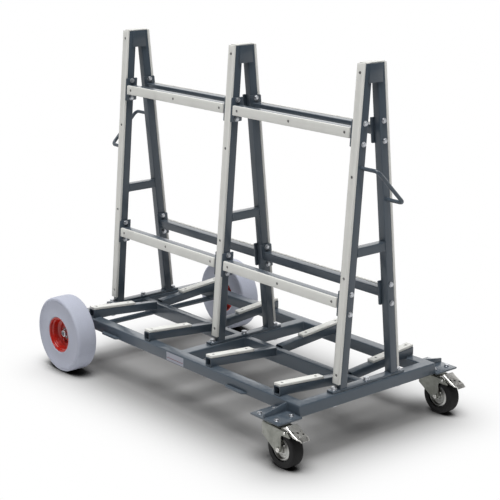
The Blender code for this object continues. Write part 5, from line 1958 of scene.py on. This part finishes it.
@dataclass
class Caster(Assembly):
    """One braked swivel caster: plate, fork, wheel, axle bolt and pedal."""

    side: Side
    tyre_half: float = 0.022
    tyre_bore: float = 0.0403
    core_radius: float = 0.040
    core_half: float = 0.0195
    hub_radius: float = 0.013
    hub_half: float = 0.025
    plate_length: float = 0.105
    plate_width: float = 0.085
    plate_thickness: float = 0.003
    plate_corner: float = 0.008
    bolt_lengthwise: float = 0.080
    bolt_crosswise: float = 0.060
    race_radius: float = 0.030
    race_depth: float = 0.0095
    lower_race: float = 0.003
    fork_sheet: float = 0.0035
    fork_bend: float = 0.0045
    kingpin_bore: float = 0.0063
    axle_bore: float = 0.0053
    pivot_bore: float = 0.0036
    head_flats: float = 0.014
    head_height: float = 0.006
    fork_rear: float = 0.031
    rear_drop: float = 0.040
    fork_front: float = 0.047
    foot_rear: float = 0.0235
    foot_radius: float = 0.0095
    wing_shoulder: float = 0.084
    wing_end: float = 0.100
    wing_depth: float = 0.0195
    pivot_x: float = 0.076
    pivot_drop: float = 0.0085
    pedal_half: float = 0.0235
    pedal_bend: float = 0.0035
    pin_reach: float = 0.0310
    lip_half: float = 0.0125
    pedal_sheet: float = 0.0025
    pedal_line: Outline = (
        (0.0525, 0.0020), (0.076, 0.0115), (0.108, -0.0075), (0.125, -0.0145), (0.136, -0.0250),
    )
    pedal_under: Outline = (
        (0.134, -0.0268), (0.1225, -0.0170), (0.108, -0.0130), (0.100, -0.0140),
        (0.076, -0.0135), (0.062, -0.0080), (0.0525, -0.0020),
    )
    pedal_room: Outline = (
        (0.045, -0.0040), (0.0525, -0.0008), (0.076, 0.0088), (0.108, -0.0102),
        (0.116, -0.0136), (0.116, -0.0300), (0.045, -0.0300),
    )
    # A black sheet under the pedal's top plate, painting the shade seen through its holes.
    pedal_lining: Outline = (
        (0.058, 0.0012), (0.076, 0.0086), (0.108, -0.0104), (0.1155, -0.0136),
        (0.1155, -0.0150), (0.108, -0.0121), (0.076, 0.0068), (0.058, -0.0004),
    )
    pedal_holes: Sequence[Point] = (
        (0.104, 0.0), (0.119, -0.009), (0.113, 0.015), (0.099, -0.015),
    )
    hole_radius: float = 0.0042
    steps: int = 72

    @property
    def y(self) -> float:
        """The caster's place across the width."""
        return self.side.sign * PLAN.caster_y

    @property
    def plate_top(self) -> float:
        """Height of the mounting plate's top face."""
        return PLAN.rail_low - PLAN.gap

    @property
    def crown(self) -> float:
        """Height of the fork's crown."""
        upper_race_low = self.plate_top - self.plate_thickness - self.race_depth
        return upper_race_low - PLAN.gap - self.lower_race

    @property
    def axle_x(self) -> float:
        """The wheel axle's place along the length."""
        return PLAN.caster_x + PLAN.caster_trail

    @property
    def fork_inner(self) -> float:
        """Half the room between the fork's legs."""
        return self.hub_half + 0.0005

    @property
    def swivel(self) -> str:
        """The body that the fork turns with."""
        return f"caster_swivel_{self.side.word}"

    def wheel_place(self) -> Matrix:
        """The caster wheel's frame."""
        return PLAN.across(self.axle_x, self.y, PLAN.caster_radius, Side.LEFT)

    def build(self, bolts: Bolts) -> None:
        """Builds the whole caster.

        Args:
            bolts: The heads of the plate's bolts.
        """
        self.plate(bolts)
        self.fork()
        self.wheel()
        self.axle()
        self.pedal()

    def plate(self, bolts: Bolts) -> None:
        """The mounting plate with its race, kingpin and bolts.

        Args:
            bolts: The bolt heads.
        """
        word, node = self.side.word, f"caster_plate_{self.side.word}"
        low = self.plate_top - self.plate_thickness
        half_x, half_y = self.plate_length / 2, self.plate_width / 2
        plate = Bench.bar(
            (PLAN.caster_x - half_x, self.y - half_y, low),
            (PLAN.caster_x + half_x, self.y + half_y, self.plate_top), Axis.HEIGHT,
            self.plate_corner, 6,
        )
        Bench.soften(plate, BAR_EDGE)
        radius, bottom, crown = self.race_radius, low - self.race_depth, self.crown
        profile = [
            (0.0, low + 0.0008), (radius + 0.0035, low + 0.0008), (radius + 0.0018, low - 0.0006),
            (radius, low - 0.0024), (radius, bottom + 0.0035), (radius - 0.0012, bottom + 0.001),
            (radius - 0.0035, bottom), (0.006, bottom), (0.006, crown - 0.0038),
            (0.010, crown - 0.0038), (0.010, crown - 0.0055), (0.009, crown - 0.0063),
            (0.0, crown - 0.0063),
        ]
        race = Bench.turn(profile, Matrix.Translation((PLAN.caster_x, self.y, 0.0)), self.steps)
        self.hand_over(
            Bench.join([plate, race]), f"mounting_plate_{word}", Finish.ZINC, Slot.ZINC, [node]
        )
        seat = PLAN.rail_low + Chassis.bracket_thickness
        half_x, half_y = self.bolt_lengthwise / 2, self.bolt_crosswise / 2
        heads = [
            bolts.at((PLAN.caster_x + i * half_x, self.y + j * half_y, seat), (0, 0, 1))
            for i in (-1, 1) for j in (-1, 1)
        ]
        self.hand_over(Bench.join(heads), f"plate_bolts_{word}", Finish.BOLT, Slot.ZINC, [node])

    def leg_outline(self) -> list[Point]:
        """A fork leg with its wing, as (place along the length, height) corners.

        Returns:
            The corners.
        """
        x, axle, high = PLAN.caster_x, self.axle_x, PLAN.caster_radius
        crown, wing_low = self.crown, self.crown - self.wing_depth
        rear, front, wing_end = x - self.fork_rear, x + self.fork_front, x + self.wing_end
        radius, heel, toe = self.foot_radius, axle - self.foot_rear, axle + self.foot_radius
        foot = [
            (axle + radius * math.sin(t), high - radius * math.cos(t))
            for t in (math.radians(a) for a in (-20, 0, 20, 45, 70, 90))
        ]
        return [
            (rear, crown + 0.004), (rear, crown - self.rear_drop), (heel, high - radius / 2),
            (heel + 0.006, high - radius * 0.85), *foot, (toe, wing_low - 0.006),
            (toe + 0.006, wing_low), (wing_end - 0.002, wing_low), (wing_end, wing_low + 0.002),
            (x + self.wing_shoulder, crown - 0.0035), (front, crown - 0.0006),
            (front, crown + 0.004),
        ]

    def fork(self) -> None:
        """The pressed fork: a bent channel trimmed to its outline, with the lower race."""
        x, inner = PLAN.caster_x, self.fork_inner
        outer = inner + self.fork_sheet
        channel = Bench.bar(
            (x - self.fork_rear - 0.001, self.y - outer, 0.03),
            (x + self.wing_end + 0.001, self.y + outer, self.crown), Axis.HEIGHT,
        )
        crown = self.crown
        with Bench.editing(channel):
            Bench.pick(channel, Pick.EDGES, lambda edge: all(
                vertex.co.z > crown - TOUCH for vertex in edge.verts
            ) and Bench.runs(edge, Axis.LENGTH))
            bpy.ops.mesh.bevel(offset=self.fork_bend, segments=5, affect="EDGES")
        room = Bench.bar(
            (x - 0.2, self.y - inner, 0.0), (x + 0.2, self.y + inner, crown - self.fork_sheet),
            Axis.HEIGHT,
        )
        front = Bench.bar(
            (x + self.fork_front, self.y - inner, 0.0), (x + 0.2, self.y + inner, crown + 0.02),
            Axis.HEIGHT,
        )
        Bench.combine(channel, [room, front], "DIFFERENCE")
        trim = Bench.sheet(self.leg_outline(), outer * 4, upright(self.y))
        Bench.combine(channel, [trim], "INTERSECT")
        bore = self.kingpin_bore
        Bench.drill(channel, bore, 0.0, 0.3, Matrix.Translation((x, self.y, crown - 0.02)))
        pivot = PLAN.across(x + self.pivot_x, self.y, crown - self.pivot_drop, Side.LEFT)
        Bench.drill(channel, self.axle_bore, -0.05, 0.05, self.wheel_place())
        Bench.drill(channel, self.pivot_bore, -0.05, 0.05, pivot)
        Bench.soften(Bench.seal(channel), FINE_EDGE, 2, 50.0)
        face = crown + self.lower_race
        profile = [
            (bore, crown - OVERLAP), (bore, crown + 0.0028), (0.0075, face), (0.0235, face),
            (0.0248, crown + 0.0022), (0.0268, crown - 0.0002), (0.0268, crown - OVERLAP),
        ]
        race = Bench.turn(profile, Matrix.Translation((x, self.y, 0.0)), self.steps)
        word = self.side.word
        self.hand_over(
            Bench.join([channel, race]), f"pressed_fork_{word}", Finish.ZINC, Slot.ZINC,
            [f"caster_fork_{word}"], self.swivel,
        )

    def wheel(self) -> None:
        """The black tyre on its pressed core."""
        word, body = self.side.word, f"caster_wheel_{self.side.word}"
        outer, inner, wide = PLAN.caster_radius, self.tyre_bore, self.tyre_half
        half = [
            (inner, wide - 0.0022), (inner + 0.0008, wide - 0.0004), (inner + 0.0030, wide),
            (outer - 0.0085, wide), (outer - 0.0060, wide - 0.0003),
            *arc((outer - 0.0056, wide - 0.0056), 0.0052, 85.0, 10.0, 6), (outer, 0.008),
        ]
        tyre = Bench.turn(mirrored(half), self.wheel_place(), self.steps)
        self.hand_over(
            tyre, f"black_tyre_{word}", Finish.BLACK, Slot.BLACK, [f"caster_tyre_{word}"], body,
            40.0,
        )
        bore, hub, rim = self.axle_bore, self.hub_radius, self.core_radius
        high, face = self.hub_half, self.core_half
        half = [
            (bore, high - 0.0004), (bore + 0.0004, high), (hub - 0.001, high),
            (hub, high - 0.001), (hub + 0.0003, face - 0.0045), (hub + 0.0016, face - 0.0062),
            (0.0200, face - 0.0066), (0.0208, face - 0.0056), (0.0226, face - 0.0056),
            (0.0234, face - 0.0066), (0.0290, face - 0.0062), (0.0306, face - 0.0040),
            (0.0318, face + 0.0012), (0.0330, face + 0.0018), (rim - 0.0012, face - 0.0016),
            (rim, face - 0.0026),
        ]
        core = Bench.turn(mirrored(half), self.wheel_place(), self.steps)
        self.hand_over(
            core, f"wheel_core_{word}", Finish.CORE, Slot.ZINC, [f"caster_core_{word}"], body
        )

    def axle(self) -> None:
        """The axle bolt with its head and nut outside the fork."""
        word = self.side.word
        face = self.fork_inner + self.fork_sheet + PLAN.gap
        parts = []
        for side in Side:
            seat = PLAN.across(self.axle_x, self.y + side.sign * face, PLAN.caster_radius, side)
            parts.append(Bench.hexagon(self.head_flats, self.head_height, seat, PLATE_EDGE))
        tip, foot = -face - 0.0075, face + 0.002
        shank = [(0.0, tip), (0.004, tip), (0.005, -face - 0.0065), (0.005, foot), (0.0, foot)]
        parts.append(Bench.turn(shank, self.wheel_place(), 32))
        self.hand_over(
            Bench.join(parts), f"caster_bolt_{word}", Finish.BRIGHT, Slot.ZINC,
            [f"caster_axle_{word}"], self.swivel,
        )

    def pedal(self) -> None:
        """The bent pedal plate with its holes, a black sheet that paints shade behind them, and the
        pivot pin.
        """
        x, y, top, node = PLAN.caster_x, self.y, self.crown, f"brake_pedal_{self.side.word}"
        inner = self.pedal_half - self.pedal_sheet
        folded, inside, shade_sheet = (
            [(x + dx, top + dz) for dx, dz in shape]
            for shape in (self.pedal_line + self.pedal_under, self.pedal_room, self.pedal_lining)
        )
        plate = Bench.sheet(folded, 2 * self.pedal_half, upright(y))

        def folds(edge: bmesh.types.BMEdge) -> bool:
            """Whether an edge is one of the long folds along the pedal's upper line.

            Args:
                edge: An edge of the plate.

            Returns:
                The answer.
            """
            return all(
                vertex.co.z > top - 0.030 and abs(abs(vertex.co.y - y) - self.pedal_half) < TOUCH
                and any(
                    math.hypot(vertex.co.x - x - dx, vertex.co.z - top - dz) < TOUCH
                    for dx, dz in self.pedal_line
                )
                for vertex in edge.verts
            ) and Bench.runs(edge, Axis.LENGTH)

        with Bench.editing(plate):
            Bench.pick(plate, Pick.EDGES, folds)
            bpy.ops.mesh.bevel(offset=self.pedal_bend, segments=5, affect="EDGES")
        hollow = Bench.sheet(inside, 2 * inner, upright(y))
        wide, lip = self.pedal_half + 0.01, self.lip_half
        outline = rounded([
            (x + 0.03, y - wide), (x + 0.119, y - wide), (x + 0.129, y - lip), (x + 0.145, y - lip),
            (x + 0.145, y + lip), (x + 0.129, y + lip), (x + 0.119, y + wide), (x + 0.03, y + wide),
        ], 0.004)
        corner = Bench.sheet(outline, 0.2, Matrix.Translation((0, 0, 0.1)))
        Bench.combine(Bench.seal(plate), [hollow], "DIFFERENCE")
        Bench.combine(plate, [corner], "INTERSECT")
        for dx, dy in self.pedal_holes:
            place = Matrix.Translation((x + dx, y + dy, 0.0))
            Bench.drill(plate, self.hole_radius, 0.0, 0.3, place, 24)
        Bench.soften(Bench.seal(plate), FINE_EDGE, 2, 60.0)
        # Painted shade: a black sheet inside the pedal that darkens what shows through the holes.
        dark = Bench.sheet(shade_sheet, 2 * inner - 2 * PLAN.gap, upright(y))
        self.hand_over(
            dark, f"pedal_lining_{self.side.word}", Finish.BLACK, Slot.BLACK, [node], node
        )
        reach = self.pin_reach
        profile = [
            (0.0, -reach - 0.0005), (0.0042, -reach - 0.0002), (0.0046, -reach + 0.0012),
            (0.003, -reach + 0.0014), (0.003, reach - 0.0014), (0.0046, reach - 0.0012),
            (0.0042, reach + 0.0002), (0.0, reach + 0.0005),
        ]
        pivot = PLAN.across(x + self.pivot_x, y, top - self.pivot_drop, Side.LEFT)
        self.hand_over(
            Bench.join([plate, Bench.turn(profile, pivot, 32)]), f"foot_pedal_{self.side.word}",
            Finish.BRIGHT, Slot.BRIGHT, [node], node, 19.0,
        )


# The studio

@dataclass
class Studio:
    """The pale floor, the soft light and the camera."""

    eye: Place = (3.6166, -2.965, 1.765)
    target: Place = (0.3546, -0.266, 0.624)
    roll: float = math.radians(-0.27)
    lens: float = 99.55
    sensor: float = 36.0
    key: Place = (0.15, -0.17, 0.96)
    key_strength: float = 3.8
    key_spread: float = math.radians(38.0)
    near_sky: float = 0.11
    far_sky: float = 1.50
    # Reach of the ambient occlusion that places the painted contact shadows under the wheels.
    contact_reach: float = 0.10
    # Painted shadow under the buggy: the middle and reach of its box on the floor; shaded_floor is
    # its colour.
    shade_middle: Point = (0.03, -0.025)
    shade_reach: Point = (0.59, 0.31)
    open_floor: Colour = (0.66, 0.66, 0.66)
    # Colour of the shadow painted on the floor under the buggy, seen by the camera alone.
    shaded_floor: Colour = (0.105, 0.103, 0.100)
    # Colour of the contact shadow painted on the floor where the wheels touch it.
    contact_floor: Colour = (0.012, 0.012, 0.012)
    floor_radius: float = 30.0

    def build(self) -> None:
        """Builds the floor, the sky, the key light and the camera."""
        self.floor()
        self.sky()
        self.key_light()
        self.camera()

    def floor(self) -> None:
        """A white floor, with shadow painted under the buggy and darker where the wheels touch, for
        the camera.
        """
        Bench.alone()
        bpy.ops.mesh.primitive_circle_add(
            vertices=96, radius=self.floor_radius, fill_type="NGON"
        )
        floor = bpy.context.active_object
        floor.name = "studio_floor"
        graph = Graph.paint("studio_floor_white")
        spot = graph.node("ShaderNodeSeparateXYZ", {}, {0: graph.spot()}, "X")
        across = Sock(graph, spot.socket.node.outputs["Y"])
        overhang = [
            graph.math("MAXIMUM", graph.math("ABSOLUTE", place - middle, 0.0) - reach, 0.0)
            for place, middle, reach in zip((spot, across), self.shade_middle, self.shade_reach)
        ]
        away = (overhang[0] ** 2.0 + overhang[1] ** 2.0) ** 0.5
        seen = graph.seen()
        # Painted shade: the floor turns to shaded_floor under the buggy, for camera rays only.
        painted_shade = (1.0 - away.rise(-0.16, 0.34)) * seen
        # Painted contact shadow: dark where ambient occlusion finds a wheel close above the floor,
        # camera rays only.
        ends = {"Distance": self.contact_reach}
        open_sky = graph.node("ShaderNodeAmbientOcclusion", {"samples": 12}, ends, "AO")
        contact_shadow = open_sky.rise(0.80, 0.40)
        base = graph.blend(painted_shade, self.open_floor, self.shaded_floor)
        base = graph.blend(contact_shadow * seen, base, self.contact_floor)
        graph.dress(Base_Color=base, Roughness=0.9, Specular_IOR_Level=0.1)
        white = {"Color": (1.0, 1.0, 1.0, 1.0), "Strength": 1.0}
        glow = graph.node("ShaderNodeEmission", {}, white)
        plain = Sock(graph, graph.shader.outputs[0])
        ends = {0: away.rise(0.0, 0.38) * (1.0 - contact_shadow) * seen, 1: plain, 2: glow}
        mixed = graph.node("ShaderNodeMixShader", {}, ends)
        graph.feed(graph.tree.nodes["Material Output"].inputs["Surface"], mixed)
        floor.data.materials.append(graph.owner)

    def sky(self) -> None:
        """A sky that is bright behind the buggy, dim in front of it and white to the camera."""
        world = bpy.data.worlds.new("studio_sky")
        bpy.context.scene.world = world
        graph = Graph(world)
        way = graph.node("ShaderNodeTexCoord", {}, {}, "Generated")
        behind = Vector(self.target) - Vector(self.eye)
        behind.z = 0.0
        facing_back = graph.vector("DOT_PRODUCT", way, tuple(behind.normalized()), "Value")
        band = facing_back.rise(0.0, 0.85) * graph.height_of(way).rise(0.75, 0.35)
        glow = self.near_sky + (self.far_sky - self.near_sky) * band
        strength = graph.math("MAXIMUM", glow, graph.seen())
        graph.dress(Color=(1.0, 1.0, 1.0, 1.0), Strength=strength)

    def key_light(self) -> None:
        """The large overhead light, as a soft sun."""
        data = bpy.data.lights.new("overhead_key", "SUN")
        data.energy = self.key_strength
        data.angle = self.key_spread
        lamp = bpy.data.objects.new("overhead_key", data)
        bpy.context.scene.collection.objects.link(lamp)
        lamp.rotation_mode = "QUATERNION"
        lamp.rotation_quaternion = Vector(self.key).to_track_quat("Z", "Y")

    def camera(self) -> None:
        """The camera at the photograph's place and angle."""
        data = bpy.data.cameras.new("camera")
        data.lens = self.lens
        data.sensor_width = self.sensor
        data.clip_start = 0.05
        data.clip_end = 100.0
        camera = bpy.data.objects.new("camera", data)
        bpy.context.scene.collection.objects.link(camera)
        way = Vector(self.target) - Vector(self.eye)
        aim = way.to_track_quat("-Z", "Y").to_matrix().to_4x4()
        tilt = Matrix.Rotation(self.roll, 4, "Z")
        camera.matrix_world = Matrix.Translation(self.eye) @ aim @ tilt
        bpy.context.scene.camera = camera
        bpy.context.scene.view_settings.view_transform = "Standard"


def main() -> None:
    """Builds the studio, then each sub-assembly in order."""
    logging.basicConfig(level=logging.INFO, format="%(message)s")
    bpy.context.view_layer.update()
    palette = Palette()
    Studio().build()
    Chassis(palette).build()
    base_bolts = Bolts(0.0172, 0.0066, 0.0112, 0.0021, 7)
    for word in PLAN.frame_places:
        AFrame(palette, word).build(base_bolts)
    base_bolts.put_away()
    tie_bolts = Bolts(0.0132, 0.0042, 0.0088, 0.0015, 11)
    for side in Side:
        for word, level in PLAN.levels.items():
            for bay in range(len(BAYS)):
                LongTube(palette, side, word, level, bay).build(tie_bolts)
    Strips(palette).build()
    PushHandle(palette, "caster_end", 1).build()
    PushHandle(palette, "wheel_end", -1).build()
    Axle(palette).build()
    for side in Side:
        LargeWheel(palette, side).build()
        Caster(palette, side).build(tie_bolts)
    tie_bolts.put_away()


if __name__ == "__main__":
    main()
